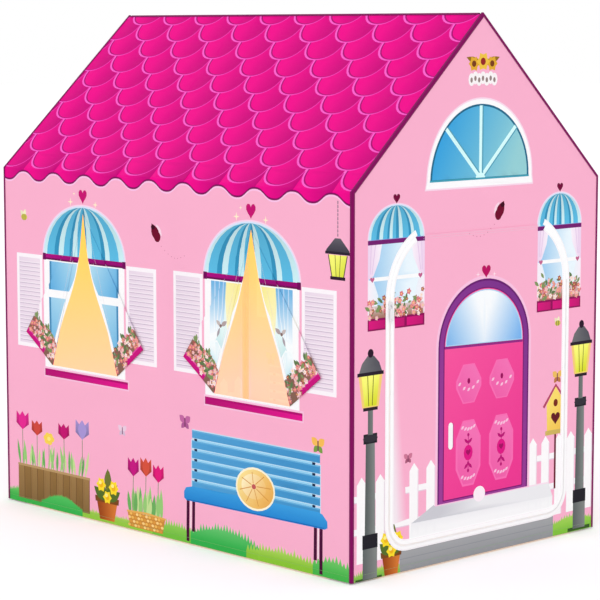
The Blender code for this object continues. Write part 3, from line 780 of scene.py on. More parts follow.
def dome(across, base, reach, rise, glow):
    """A striped dome in a pale glow."""
    art = [
        (arch(across, base, reach + glow, rise + glow, 29), (250, 214, 236)),
        (arch(across, base, reach + glow / 2, rise + glow / 2, 29), (214, 230, 252)),
    ]
    for left, right, colour in zip(GORE_EDGES, GORE_EDGES[1:], GORE_TONES):
        ink = fade(colour, [tone * 0.86 + 6 for tone in colour], (across, base), (across, base + rise))
        art.append((gore(across, base, reach, rise, left, right), ink))
    return art


def shutter(left, right, low, high):
    inner = box(left + 8 * MM, low + 8 * MM, right - 8 * MM, high - 8 * MM)
    art = [
        (box(left, low, right, high), (252, 246, 251)),
        (inner, fade((232, 216, 232), (242, 226, 238), (left, 0), (right, 0))),
    ]
    for n in range(int((high - low - 0.02) / 0.0085)):
        v = low + 0.0125 + n * 0.0085
        art.append((box(left + 9 * MM, v, right - 9 * MM, v + 1.8 * MM), (206, 188, 208)))
        art.append((box(left + 9 * MM, v + 1.8 * MM, right - 9 * MM, v + 3.4 * MM), (250, 240, 248)))
    return art


print("a dome has", len(GORE_TONES), "stripes")

# %% Window panes
GLASS_DEEP, GLASS_PALE, WHITE = (92, 172, 224), (196, 231, 244), (252, 252, 253)
SILL_DEEP, SILL_BRIGHT = (178, 8, 112), (226, 18, 142)


def sparkle(u, v, size, colour=(255, 240, 205)):
    return star(u, v, (size / 2, size / 8), 8), colour


def pane(across, side, low, high, near=0.004, far=0.112):
    """A pane between two distances from the window's middle, deep blue at its outer edge."""
    left, right = sorted((across + side * near, across + side * far))
    rim_left, rim_right = sorted((across + side * far, across + side * (far - 6 * MM)))
    ink = fade(GLASS_PALE, GLASS_DEEP, (across + side * near, high), (across + side * far, low))
    return [(box(left, low, right, high), ink), (box(rim_left, low, rim_right, high), (70, 140, 186))]


def window_frame(across):
    left, right = across - 0.1310, across + 0.1380
    sill = fade(SILL_DEEP, SILL_BRIGHT, (across - 0.13, 0), (across + 0.13, 0))
    return [
        *shutter(across - 0.223, across - 0.136, 0.336, 0.530),
        *shutter(across + 0.136, across + 0.226, 0.336, 0.528),
        (block(across, 0.130, 0.298, 0.532), WHITE),
        *dome(across, 0.530, 0.129, 0.105, 6 * MM),
        (heart(across, 0.659, 0.027, 1.2), (198, 12, 112)),
        sparkle(across - 0.040, 0.645, 0.018),
        sparkle(across + 0.040, 0.643, 0.016),
        sparkle(across - 0.028, 0.662, 0.009),
        (box(across - 0.134, 0.279, across + 0.141, 0.3005), (250, 196, 224)),
        (box(left, 0.282, right, 0.2965), sill),
        (box(left, 0.292, right, 0.2965), SILL_DEEP),
    ]


def crossbar(across):
    knob, face = (112, 2, 88), fade((176, 2, 128), (150, 0, 112), (across - 0.13, 0), (across, 0))
    return [
        (block(across, 0.132, 0.5225, 0.5265), (112, 4, 84)),
        (block(across, 0.132, 0.5265, 0.5345), face),
        (box(across - 0.134, 0.5215, across - 0.124, 0.5355), knob),
        (box(across + 0.124, 0.5215, across + 0.134, 0.5355), knob),
    ]


print("a crossbar has", len(crossbar(0)), "outlines")

# %% Flower box
LEAF_TONES = ((128, 150, 96), (96, 122, 78))
PETAL_TONES = [(222, 120, 130), (240, 190, 196), (170, 92, 84), *LEAF_TONES, (236, 150, 150), (250, 226, 226)]


def blossoms(left, right, low, high, count, seed):
    """A band of small flowers and leaves, scattered but the same each time."""
    chance = random.Random(seed)
    art = []
    for n in range(count):
        u, v = chance.uniform(left, right), chance.uniform(low, high)
        size = chance.uniform(6, 11) * MM
        tone = PETAL_TONES[n % len(PETAL_TONES)]
        if tone in LEAF_TONES:
            turn = chance.uniform(0, math.pi)
            tip = (u + size * math.cos(turn) * 1.6, v + size * math.sin(turn) * 1.6)
            art.append((leaf(u, v, *tip, size * 0.7), tone))
            continue
        petals = []
        for k in range(10):
            reach = size * 0.62 * (1 - 0.35 * (k % 2))
            petals.append((u + reach * math.cos(k * 0.628), v + reach * math.sin(k * 0.628)))
        art += [(petals, tone), (oval(u, v, size * 0.16, size * 0.16, 5), (250, 214, 120))]
    return art


def flower_box(left, right, low, high, seed):
    """A trough with flowers over it."""
    lip = low + 0.26 * (high - low)
    return [
        (box(left, low + 2 * MM, right, lip + 0.017), (138, 100, 84)),
        (box(left, low, right, lip), fade((196, 14, 122), (214, 24, 132), (left, low), (right, lip))),
        (box(left, lip - 3 * MM, right, lip), (226, 70, 160)),
        *blossoms(left + 4 * MM, right - 4 * MM, lip + 1 * MM, high, int((right - left) * 1000), seed),
    ]


print("a flower box has", len(flower_box(-0.105, 0.105, 0.305, 0.355, 1)), "outlines")

# %% Window drawings
def plain_panes(across):
    """The rear window: bare panes with one rail."""
    return [part for side in (-1, 1) for low, high in ((0.462, 0.520), (0.309, 0.446))
            for part in pane(across, side, low, high)]


def curtained_half(at):
    """One side of the front window: warm light and a pale curtain, tied with a small bow."""
    glass = fade((232, 250, 248), (150, 206, 216), at(0.05, 0.4), at(0.116, 0.34))
    warm = fade((250, 236, 140), (255, 250, 214), at(0, 0.5), at(0.09, 0.44))
    drape = fade((116, 182, 228), (246, 252, 255), at(0.09, 0.51), at(0.10, 0.425))
    fold_ink = fade((180, 212, 244), (250, 254, 255), at(0.09, 0.50), at(0.10, 0.44))
    tail = fade((124, 200, 220), (248, 254, 255), at(0.116, 0.33), at(0.080, 0.37))
    folds, lower = [], []
    for n in range(3):
        high, middle = at(0.075 + 0.013 * n, 0.520), at(0.079 + 0.011 * n, 0.47)
        folds.append((high, middle, at(0.089 + 0.006 * n, 0.428)))
        high, middle = at(0.098 - 0.002 * n, 0.404), at(0.094 - 0.010 * n, 0.36)
        lower.append((high, middle, at(0.092 - 0.014 * n, 0.312)))
    drawn = (
        (((0.0, 0.31), (0.112, 0.31), (0.112, 0.520), (0.0, 0.520)), glass),
        (((0.0, 0.41), (0.066, 0.43), (0.073, 0.520), (0.0, 0.520)), warm),
        (((0.068, 0.520), (0.112, 0.520), (0.114, 0.415), (0.090, 0.425), (0.074, 0.45)), drape),
        (((0.086, 0.428), (0.114, 0.418), (0.114, 0.395), (0.098, 0.408)), (250, 254, 255)),
        (((0.112, 0.31), (0.114, 0.405), (0.094, 0.408), (0.068, 0.375), (0.050, 0.33), (0.048, 0.31)), tail),
    )
    shapes = [([at(*point) for point in outline], ink) for outline, ink in drawn]
    return [
        *shapes[:3],
        *(stroke(2.6 * MM, fold_ink, *fold) for fold in folds),
        *shapes[3:],
        *(stroke(2.4 * MM, (232, 246, 250), *fold) for fold in lower),
        (leaf(*at(0.083, 0.436), *at(0.066, 0.446), 9 * MM), (176, 160, 160)),
        (leaf(*at(0.083, 0.436), *at(0.096, 0.446), 8 * MM), (198, 186, 184)),
        (leaf(*at(0.086, 0.433), *at(0.094, 0.414), 6 * MM), (168, 160, 168)),
        (oval(*at(0.084, 0.436), 3.4 * MM, 3.4 * MM, 9), (132, 108, 104)),
    ]


def curtained_panes(across):
    art = []
    for side in (-1, 1):
        def at(du, v):
            return (across + side * du, v)
        art += curtained_half(at)
    return art


def window_drawing(across, panes, seed):
    return [
        *window_frame(across),
        *panes(across),
        *crossbar(across),
        *flower_box(across - 0.105, across + 0.105, 0.3055, 0.352, seed),
    ]


rear_window_art = window_drawing(-WINDOW_ASIDE, plain_panes, 11)
front_window_art = window_drawing(WINDOW_ASIDE, curtained_panes, 12)
print("window drawings:", len(rear_window_art), "and", len(front_window_art), "outlines")

# %% [markdown]
# ## The garden along the side wall
# Under the windows the print shows a strip of grass with a planter of tulips, a pot, a basket and a
# garden bench, and a lantern that hangs from the eave. All of it is flat colour with simple fades,
# so each thing is a handful of outlines from the back to the front.

# %% Grass
GRASS, GRASS_DARK = (62, 182, 78), (34, 150, 74)
BELOW_HEM = -0.01


def grass(left, right, low, high, colour, tip, seed, blade=9 * MM):
    """A hump of grass between two places, with a fringe of pointed blades."""
    chance = random.Random(seed)
    count = max(4, int((right - left) / (blade * 0.55)))
    top = []
    for n in range(2 * count + 1):
        share = n / (2 * count)
        hump = low + (high - low) * (0.35 + 0.65 * math.sin(math.pi * min(max(share, 0.02), 0.98)))
        spike = chance.uniform(0.35, 1.0) * blade if n % 2 else -1 * MM
        aside = chance.uniform(-1, 1) * MM if n % 2 else 0
        top.append((left + share * (right - left) + aside, hump + spike))
    edge = [(left, BELOW_HEM), (right, BELOW_HEM)] + top[::-1]
    return [(edge, fade(colour, tip, (0, low), (0, high + blade)))]


def side_grass():
    return [
        *grass(-0.52, 0.52, 0.012, 0.019, (150, 205, 70), (190, 222, 110), 1),
        *grass(-0.52, -0.40, 0.014, 0.032, GRASS, (140, 206, 110), 2),
        *grass(-0.04, 0.10, 0.012, 0.030, (116, 196, 66), (168, 216, 110), 3, 14 * MM),
        *grass(0.075, 0.270, 0.014, 0.044, (52, 178, 78), (126, 208, 126), 4, 15 * MM),
        *grass(0.235, 0.430, 0.012, 0.028, (140, 200, 56), (196, 224, 124), 5, 15 * MM),
        *grass(0.415, 0.52, 0.012, 0.034, (72, 184, 78), (140, 212, 120), 6, 17 * MM),
    ]


print("grass outlines:", len(side_grass()))

# %% Tulips, blades and planter
def tulip(u, foot, head, size, colour, wide=1.0):
    """A tulip on its stem: three petals with the middle one in front."""
    cup, stem = head - size * 0.5, (96, 140, 84)
    art = [stroke(1.8 * MM, stem, (u, foot), (u, (foot + head) / 2), (u, cup))]
    tint = fade([tone * 0.78 for tone in colour], colour, (0, head - size / 2), (0, head + size / 2))
    for side in (-1, 1):
        reach = side * size * wide
        petal = [(u, head - size * 0.62), (u + reach * 0.42, head - size * 0.25),
                 (u + reach * 0.40, head + size * 0.5), (u + reach * 0.05, head + size * 0.1)]
        art.append((petal, tint))
    return art + [(leaf(u, head - size * 0.65, u, head + size * 0.52, size * 0.52 * wide), colour)]


def blades(u, foot, top, spread, count, seed, wide=5.5 * MM, lean=0.25):
    """Long upright leaves in three greens, side by side."""
    chance = random.Random(seed)
    art = []
    for n in range(count):
        at = u + spread * (n / max(count - 1, 1) - 0.5)
        tip = at + chance.uniform(-0.5, 0.5) * spread * lean
        tone = (150, 205, 120) if n % 3 else (196, 224, 150)
        outline = leaf(at, foot, tip, foot + (top - foot) * chance.uniform(0.7, 1.0), wide)
        art.append((outline, tone if n % 4 else (108, 176, 96)))
    return art


def planter():
    foot, daisy = 0.08, (-0.374, 0.149)
    art = blades(-0.362, foot, 0.142, 0.215, 22, 21, 8 * MM, 0.14)
    for u, head, size, colour in (
        (-0.462, 0.179, 0.034, (230, 40, 146)), (-0.414, 0.168, 0.028, (208, 72, 62)),
        (-0.324, 0.172, 0.029, (196, 16, 112)), (-0.262, 0.184, 0.035, (168, 150, 214))):
        art += tulip(u, foot, head, size, colour, 1.5)
    art.append(stroke(1.8 * MM, (110, 150, 90), (daisy[0], foot), (daisy[0], 0.145)))
    for k in range(6):
        petal = oval(daisy[0] + 11 * MM * math.cos(k), daisy[1] + 7.5 * MM * math.sin(k), 8 * MM, 6 * MM, 8)
        art.append((petal, (250, 214, 84)))
    art.append((oval(*daisy, 6 * MM, 4.5 * MM, 9), (255, 236, 130)))
    for n in range(11):
        left = -0.478 + n * 0.0218
        tone = (146, 112, 64) if n % 2 else (158, 124, 76)
        wood = fade([t * 0.86 for t in tone], tone, (0, 0.015), (0, foot))
        art.append((box(left, 0.012, left + 0.0210, 0.084), wood))
        art.append((box(left + 0.0202, 0.012, left + 0.0218, 0.084), (108, 76, 46)))
        art.append((box(left + 0.004, 0.020, left + 0.0052, 0.076), (144, 106, 62)))
    art.append((box(-0.479, 0.081, -0.237, 0.086), (186, 152, 104)))
    return art + grass(-0.400, -0.262, 0.004, 0.034, (54, 180, 80), (90, 198, 100), 7, 5 * MM)


print("planter outlines:", len(planter()))

# %% Pot and basket
def blossom(u, v, size, colour, heart_colour):
    petals = star(u, v, (size / 2, size / 2 * 0.72), 12)
    return [(petals, colour), (oval(u, v, size * 0.2, size * 0.2, 9), heart_colour)]


def flower_pot(u, foot, size=1.0, wide=1.0):
    """A clay pot with three yellow blossoms over dark leaves."""
    def at(du, dv):
        return (u + du * size * wide, foot + dv * size)
    clay = fade((150, 66, 22), (214, 122, 52), at(-0.026, 0), at(0.02, 0))
    art = [
        ([at(-0.021, 0), at(0.021, 0), at(0.030, 0.040), at(-0.030, 0.040)], clay),
        ([at(-0.0335, 0.036), at(0.0335, 0.036), at(0.035, 0.048), at(-0.035, 0.048)], (122, 72, 30)),
    ]
    tips = ((-1, 0.038, 0.066), (1, 0.038, 0.064), (-1, 0.020, 0.084), (1, 0.006, 0.104), (1, 0.030, 0.078))
    for side, reach, top in tips:
        art.append((leaf(*at(side * 0.004, 0.040), *at(side * reach, top), 0.020 * size), (86, 112, 44)))
    art.append((leaf(*at(0.0, 0.06), *at(0.002, 0.108), 0.020 * size), (112, 120, 50)))
    for du, dv, across in ((-0.017, 0.072, 0.032), (0.019, 0.070, 0.033), (0.001, 0.048, 0.029)):
        art += blossom(*at(du, dv), across * size, (252, 222, 44), (242, 184, 30))
        art.append((oval(*at(du - 0.003, dv + 0.004), 0.005 * size, 0.004 * size, 8), (255, 244, 140)))
    return art


def tulip_basket(left, right, foot):
    middle, top = (left + right) / 2, foot + 0.030
    art = blades(middle, foot + 0.02, 0.098, 0.095, 12, 31, 11 * MM, 0.2)
    art += tulip(middle - 0.041, foot + 0.03, 0.130, 0.033, (196, 20, 128), 1.25)
    art += tulip(middle - 0.002, foot + 0.03, 0.135, 0.033, (214, 82, 62), 1.25)
    art += tulip(middle + 0.036, foot + 0.03, 0.127, 0.031, (226, 22, 122), 1.3)
    art += blades(middle + 0.002, foot + 0.02, 0.090, 0.07, 6, 33, 12 * MM, 0.2)
    art.append(([(left + 0.008, foot), (right - 0.008, foot), (right, top), (left, top)], (206, 140, 60)))
    for row in range(4):
        for n in range(11):
            u = left + 0.006 + (n + 0.5 * (row % 2)) * 0.0096
            tone = ((240, 190, 96), (222, 156, 66), (250, 214, 140))[(n + row) % 3]
            art.append((oval(u, foot + 0.004 + row * 0.0075, 4.4 * MM, 2.9 * MM, 8), tone))
    rim = (left - 0.002, top), (middle, top + 0.003), (right + 0.002, top)
    return art + [stroke(4 * MM, (232, 176, 90), *rim)]


print("pot and basket outlines:", len(flower_pot(0, 0)) + len(tulip_basket(0.003, 0.115, 0.012)))

# %% Bench and lantern
def bench():
    post, slat = (72, 12, 54), fade((84, 162, 214), (64, 146, 202), (0.08, 0.2), (0.43, 0.2))
    backs = (0.0895, 0.4165)
    legs = ((0.067, 0.007), (0.0835, 0.028), (0.4215, 0.030), (0.4365, 0.006))
    art = [stroke(8.5 * MM, post, (u, foot), (u, 0.10)) for u, foot in legs]
    art += [stroke(2.5 * MM, (250, 236, 244), (u, 0.034), (u, 0.095)) for u in (0.0755, 0.4290)]
    art += [stroke(10 * MM, post, (u, 0.11), (u, 0.209)) for u in backs]
    for n in range(6):
        low, past = 0.1125 + n * 0.0197, 0.002 * (n < 5)
        art.append((box(0.0785 - past, low - 0.002, 0.4335 + past, low + 0.0168), (190, 228, 248)))
        art.append((box(0.0785, low, 0.4335, low + 0.0148), slat))
        art.append((box(0.080, low + 0.0120, 0.432, low + 0.0148), (100, 176, 222)))
        if n:
            art.append((box(backs[0], low - 0.0046, backs[1], low - 0.0018), (150, 212, 244)))
            art += [(block(u, 0.004, low - 0.0055, low - 0.0008), (22, 40, 74)) for u in backs]
    seat = [(0.062, 0.0865), (0.446, 0.0905), (0.4535, 0.0945), (0.4530, 0.106), (0.4400, 0.1175),
            (0.4300, 0.1200), (0.0790, 0.1160), (0.0600, 0.1115), (0.0545, 0.103), (0.0550, 0.091)]
    return art + [
        (seat, fade((36, 132, 208), (60, 160, 226), (0, 0.088), (0, 0.118))),
        stroke(2.2 * MM, (26, 112, 184), (0.064, 0.0885), (0.25, 0.0900), (0.444, 0.0925)),
    ]


def cushion(u, v):
    """A round cushion left on the bench."""
    side = fade((232, 166, 74), (252, 226, 150), (u + 0.05, v - 0.03), (u - 0.03, v + 0.03))
    top = fade((240, 184, 96), (255, 240, 196), (u + 0.03, v - 0.02), (u - 0.03, v + 0.02))
    tuft = (u - 0.004, v + 0.004)
    art = [(oval(u, v, 0.054, 0.041, 26), (255, 246, 214)), (oval(u, v, 0.050, 0.037, 26), side)]
    art.append((oval(*tuft, 0.034, 0.024, 22), top))
    for n in range(8):
        turn = n * math.tau / 8 + 0.2
        start = (tuft[0] + 0.008 * math.cos(turn), tuft[1] + 0.006 * math.sin(turn))
        end = (u + 0.044 * math.cos(turn), v + 0.032 * math.sin(turn))
        art.append(stroke(1.6 * MM, (214, 146, 66), start, end))
    return art + [(oval(*tuft, 0.006, 0.005, 12), (196, 90, 90))]


def hanging_lantern(u):
    """A lantern on a chain, drawn from the top down."""
    art = []
    for n in range(9):
        v = 0.628 + n * 0.0072
        art.append((oval(u, v, 1.6 * MM, 3.2 * MM, 8), (104, 96, 108)))
        art.append((oval(u, v, 0.6 * MM, 1.8 * MM, 6), (232, 170, 200)))
    hood = mirrored(u, (0.007, 0.622), (0.029, 0.601), (0.031, 0.594))
    glow = fade((250, 250, 120), (214, 222, 56), (u - 0.01, 0.58), (u + 0.02, 0.555))
    art += [
        (hood, fade((98, 94, 104), (66, 62, 74), (0, 0.62), (0, 0.60))),
        stroke(5 * MM, (44, 34, 50), (u - 0.032, 0.5955), (u + 0.032, 0.5955)),
        (mirrored(u, (0.015, 0.553), (0.024, 0.592)), glow),
    ]
    bars = ((0.004, 0.007, 1.6 * MM, (120, 120, 50)), (0.015, 0.024, 2.2 * MM, (70, 66, 60)))
    for foot, head, width, ink in bars:
        art += [stroke(width, ink, (u + side * foot, 0.553), (u + side * head, 0.592)) for side in (-1, 1)]
    return art + [stroke(6 * MM, (46, 28, 46), (u - 0.019, 0.5505), (u + 0.019, 0.5505))]


print("bench outlines:", len(bench()))

# %% Small visitors
def ladybird(u, v, turn=1.0):
    """A small dark beetle with a dotted trail behind it. It faces left, or right with a turn of -1."""
    shell, trail = (112, 6, 44), []
    for n in range(8):
        down = v - 0.024 - 0.014 * math.sin(0.42 * n) - 0.0015 * n
        trail.append((u + turn * (0.014 + 0.010 * n), down))
    return [
        *((oval(*spot, 1.1 * MM, 1.1 * MM, 6), (206, 118, 150)) for spot in trail),
        (leaf(u, v + 0.018, u + 0.016 * turn, v - 0.004, 0.010), (252, 216, 232)),
        (leaf(u - 0.013 * turn, v + 0.019, u + 0.008 * turn, v - 0.016, 0.021), shell),
        (oval(u + 0.003 * turn, v - 0.006, 9.5 * MM, 10.5 * MM, 14), shell),
        (oval(u - 0.009 * turn, v + 0.012, 6 * MM, 5 * MM, 9), (60, 4, 30)),
    ]


def bee(u, v, size=1.0):
    half = 0.006 * size
    stripes = [u + k * size for k in (-0.004, 0.003)]
    return [
        (leaf(u, v, u - 0.012 * size, v + 0.014 * size, 0.010 * size), (236, 228, 190)),
        (leaf(u, v, u + 0.004 * size, v + 0.017 * size, 0.010 * size), (246, 240, 200)),
        (oval(u, v, 0.0105 * size, 0.0068 * size, 12), (206, 196, 80)),
        *(stroke(2 * MM, (120, 124, 60), (at, v - half), (at, v + half)) for at in stripes),
    ]


def butterfly(u, v, size, colour, second):
    art = []
    for side in (-1, 1):
        art.append((leaf(u, v, u + side * size * 0.55, v + size * 0.45, size * 0.5), colour))
        art.append((leaf(u, v, u + side * size * 0.38, v - size * 0.40, size * 0.36), second))
    return art + [stroke(size * 0.10, (110, 50, 90), (u, v - size * 0.3), (u, v + size * 0.3))]


def side_print():
    return [
        *roof_art,
        *rear_window_art,
        *front_window_art,
        *side_grass(),
        *planter(),
        *flower_pot(-0.182, 0.008, 0.98, 1.12),
        *tulip_basket(-0.117, -0.001, 0.008),
        *bench(),
        *cushion(0.258, 0.137),
        *hanging_lantern(0.4785),
        *ladybird(-0.023, 0.598),
        *bee(-0.446, 0.605),
        *butterfly(0.058, 0.238, 0.029, (196, 104, 164), (176, 90, 150)),
        *butterfly(0.428, 0.242, 0.031, (248, 190, 90), (120, 160, 70)),
        *butterfly(-0.133, 0.197, 0.023, (236, 206, 226), (214, 190, 214)),
    ]


side_art = side_print()
print("the side's print has", len(side_art), "outlines")

# %% [markdown]
# ## The front gable's print
# The front is the face of the little house: a fan-shaped window under the peak, two small windows
# with domes, a printed door on a step, a picket fence and two lamp posts. The doorway's zip runs
# straight through this print, so the wall and the door flap are cut from the same drawing.

# %% Fan window
WALL_PINK = (250, 178, 207)


def fan_window():
    across, base, reach, rise = -0.003, 0.716, 0.133, 0.134
    art = []
    for side, foot, out, up, ink in (
        (0.017, 0.018, 0.014, 0.015, (250, 218, 236)), (0.014, 0.015, 0.011, 0.012, (253, 252, 254))):
        sill = [(across - reach - side, base - foot), (across + reach + side, base - foot)]
        art.append((sill + arch(across, base, reach + out, rise + up), ink))
    art.append((arch(across, base, reach + 0.003, rise + 0.003), (36, 104, 136)))
    glass = fade((52, 160, 224), (150, 208, 214), (-0.10, 0.84), (0.09, 0.74))
    art.append((arch(across, base + 0.001, reach - 0.002, rise - 0.002), glass))
    for turn in map(math.radians, (44, 90, 136)):
        tip = (across + reach * math.cos(turn), base + rise * math.sin(turn))
        art.append(stroke(9 * MM, (86, 160, 186), (across + 0.003, base), (tip[0] + 0.003, tip[1])))
        art.append(stroke(7.6 * MM, (216, 254, 254), (across, base), tip))
    sill = box(across - reach - 0.004, base - 0.003, across + reach + 0.004, base + 0.0005)
    return art + [(arch(across, base - 0.001, 0.013, 0.011, 15), (216, 254, 254)), (sill, (66, 158, 182))]


print("fan window outlines:", len(fan_window()))

# %% Small windows
def curtain(at, sill, mid, bar):
    """One side's curtain, tied back to the frame, with a heart for its tie."""
    drape = [at(1.04, bar), at(0.52, bar), at(0.62, bar - 0.03), at(0.84, mid + 0.006), at(1.04, mid)]
    foot = sill - 0.02
    lower = [at(1.04, mid), at(0.84, mid - 0.002), at(0.66, mid - 0.03), at(0.74, foot), at(1.04, foot)]
    folds = [(at(0.92 - 0.16 * n, bar), at(0.95 - 0.06 * n, mid + 0.01)) for n in (0, 1)]
    return [
        (drape, fade((240, 214, 240), (252, 244, 252), at(1.0, 0), at(0.55, 0))),
        (lower, fade((248, 240, 250), (232, 246, 252), at(1.0, 0), at(0.6, 0))),
        *(stroke(1.6 * MM, (226, 198, 230), *fold) for fold in folds),
        (heart(*at(0.88, mid), 0.011), (196, 96, 142)),
    ]


def small_window(across, half, sill, bar, top, box_low, seed):
    """A narrow window with its curtains tied back, over a flower box."""
    mid = sill + 0.42 * (bar - sill)
    left, right = across - half - 3 * MM, across + half + 3 * MM
    glass = fade((150, 200, 238), (236, 248, 255), (across - half, 0), (across + 0.4 * half, 0))
    art = [
        (box(across - half - 2 * MM, box_low + 0.01, across + half + 2 * MM, bar), (250, 226, 242)),
        (block(across, half, sill - 0.02, bar), glass),
        (block(across, 0.9 * half, mid - 3.5 * MM, mid + 3.5 * MM), WHITE),
    ]
    for side in (-1, 1):
        def at(share, v):
            return (across + side * share * half, v)
        art += curtain(at, sill, mid, bar)
    art += [
        (box(left, bar - 3 * MM, right, bar + 3.5 * MM), (120, 40, 120)),
        (block(across, half, bar + 3.0 * MM, bar + 8 * MM), (150, 150, 220)),
        *dome(across, bar + 0.006, half, top - bar - 0.006, 4 * MM),
        (box(left, bar - 2 * MM, right, bar + 5.0 * MM), (116, 30, 110)),
        (heart(across, top + 0.013, 0.018, 1.1), (112, 4, 56)),
        (box(left, box_low, right, box_low + 0.022), (142, 14, 88)),
    ]
    panel = 0.31 * (right - left)
    for n in range(3):
        start = left + 3 * MM + n * (panel + 3 * MM)
        tint = fade((218, 22, 126), (190, 24, 110), (start, 0), (start + panel, 0))
        art.append((box(start, box_low + 3 * MM, start + panel - 3 * MM, box_low + 0.018), tint))
    left, right = left + 0.003, right - 0.003
    soil = fade((168, 122, 104), (216, 204, 204), (0, box_low + 0.024), (0, box_low + 0.044))
    art.append((box(left, box_low + 0.022, right, box_low + 0.044), soil))
    art += blossoms(left, right, box_low + 0.024, box_low + 0.052, 90, seed)
    return art + blossoms(left, right, box_low + 0.022, box_low + 0.066, 44, seed + 9)


print("small window outlines:", len(small_window(-0.226, 0.072, 0.5, 0.607, 0.68, 0.452, 3)))

# %% Printed door
def door_panel(across, low, high, half, shoulder):
    levels = (half * 0.45, low), (half, low + shoulder), (half, high - shoulder), (half * 0.45, high)
    corners, middle = mirrored(across, *levels), (low + high) / 2
    inner = [(across + (u - across) * 0.86, middle + (v - middle) * 0.94) for u, v in corners]
    tint = fade((240, 92, 168), (246, 122, 186), (across - half, low), (across + half, high))
    return [(corners, (248, 112, 182)), (inner, tint)]


def ribbon(across, v, reach, drop):
    """A pale ribbon that hangs in a bow, as a row of small petals."""
    art = []
    for share in (-1, -0.5, 0, 0.5, 1):
        u, level = across + share * reach, v + drop * share * share
        art.append((leaf(u - 0.004, level - 0.003, u + 0.004, level + 0.003, 0.005), (250, 196, 224)))
    return art


def ornament(across, low, high):
    """A column of beads, leaves and a heart."""
    middle, tone = (low + high) / 2, (186, 14, 116)
    leaves = [(side, d) for side in (-1, 1) for d in (0.018, -0.020)]
    return [
        stroke(1.6 * MM, tone, (across, low), (across, high)),
        *((oval(across, v, 3.2 * MM, 3.6 * MM, 8), tone) for v in (low, high, low + 0.014, high - 0.014)),
        (oval(across, middle, 0.0125, 0.0150, 12), (222, 20, 132)),
        (heart(across, middle + 0.001, 0.013), (160, 8, 96)),
        *((leaf(across, middle + d, across + s * 0.011, middle + d * 1.5, 0.006), tone) for s, d in leaves),
    ]


def door_arch(inset, base, top):
    left, right, spring = -0.117 + inset, 0.137 - inset, 0.405
    head = arch((left + right) / 2, spring, (right - left) / 2, top - spring, 31)
    return [(left, base), (right, base)] + head


def printed_door():
    whole = [(-0.098, 0.408), (0.118, 0.402)] + oval(0.010, 0.405, 0.108, 0.102, 27, 0.02, math.pi)
    left = [(-0.096, 0.410), (0.010, 0.407)] + oval(0.010, 0.405, 0.105, 0.100, 14, math.pi / 2, math.pi)
    right = [(0.010, 0.407), (0.115, 0.404)] + oval(0.010, 0.405, 0.105, 0.100, 14, 0.02, math.pi / 2)
    handle, knob = (-0.0820, 0.220), (-0.0820, 0.259)
    art = [
        (door_arch(-0.006, 0.112, 0.533), (250, 196, 226)),
        (door_arch(0, 0.114, 0.527), (104, 30, 112)),
        (door_arch(0.004, 0.114, 0.523), fade((156, 62, 150), (122, 50, 140), (-0.11, 0.2), (0.13, 0.5))),
        (door_arch(0.0145, 0.118, 0.511), (112, 24, 108)),
        (door_arch(0.0170, 0.120, 0.509), fade((246, 84, 158), (236, 56, 146), (-0.08, 0.4), (0.11, 0.15))),
        (whole, (176, 212, 242)),
        (left, fade((128, 184, 236), (250, 253, 255), (-0.085, 0.40), (0.008, 0.45))),
        (right, fade((122, 180, 238), (250, 253, 255), (0.104, 0.40), (0.012, 0.45))),
        stroke(5 * MM, (146, 42, 130), (-0.100, 0.406), (0.119, 0.400)),
        (heart(0.013, 0.542, 0.025, 1.1), (186, 12, 96)),
        sparkle(-0.010, 0.536, 0.012, (255, 226, 236)),
        sparkle(0.036, 0.534, 0.011, (255, 226, 236)),
    ]
    for across in (-0.033, 0.060):
        art += door_panel(across, 0.296, 0.370, 0.0350, 0.030) + ribbon(across, 0.322, 0.025, 0.012)
        art.append((oval(across, 0.338, 4 * MM, 5.5 * MM, 10), (150, 8, 90)))
        art += door_panel(across, 0.139, 0.264, 0.0345, 0.034) + ornament(across, 0.168, 0.236)
        art += ribbon(across, 0.153, 0.016, 0.004) + ribbon(across, 0.247, 0.016, 0.004)
    return art + [
        (box(-0.0880, 0.217, -0.0740, 0.262), (176, 76, 140)),
        stroke(12 * MM, (250, 248, 250), handle, knob),
        *((oval(*end, 6 * MM, 6 * MM, 12), (250, 248, 250)) for end in (handle, knob)),
    ]


print("printed door outlines:", len(printed_door()))

# %% Step, path and fence
PICKET_HALF, PICKET_POINT = 0.012, 0.014


def picket(u, foot, top):
    left, right, shoulder = u - PICKET_HALF, u + PICKET_HALF, top - PICKET_POINT
    board = [(left, foot), (right, foot), (right, shoulder), (u, top), (left, shoulder)]
    return [(board, (253, 252, 253)), (box(right - 2.4 * MM, foot, right, shoulder), (236, 222, 232))]


def fence(left, right, places, foot, top):
    rails = (foot + 0.052, foot + 0.112)
    art = [(box(left, v, right, v + 0.013), (252, 250, 252)) for v in rails]
    art += [(box(left, v, right, v + 2 * MM), (232, 214, 226)) for v in rails]
    return art + [part for u in places for part in picket(u, foot, top)]


def step_and_path():
    path = [(-0.216, -0.01), (0.217, -0.01), (0.217, 0.056), (-0.216, 0.060)]
    slab = [(-0.192, 0.050), (0.213, 0.050), (0.213, 0.086), (-0.186, 0.092)]
    tread = [(-0.186, 0.090), (0.213, 0.084), (0.200, 0.113), (-0.126, 0.116)]
    return [
        (path, fade((150, 152, 156), (168, 170, 173), (0, 0.004), (0, 0.05))),
        (box(-0.216, 0.026, 0.217, 0.0272), (144, 146, 150)),
        (slab, fade((250, 251, 252), (238, 239, 242), (0, 0.07), (0, 0.092))),
        (tread, fade((236, 237, 240), (204, 205, 212), (0.0, 0.084), (-0.10, 0.114))),
        stroke(3 * MM, (248, 228, 240), (-0.126, 0.1155), (0.20, 0.1125)),
    ]


print("step outlines:", len(step_and_path()))

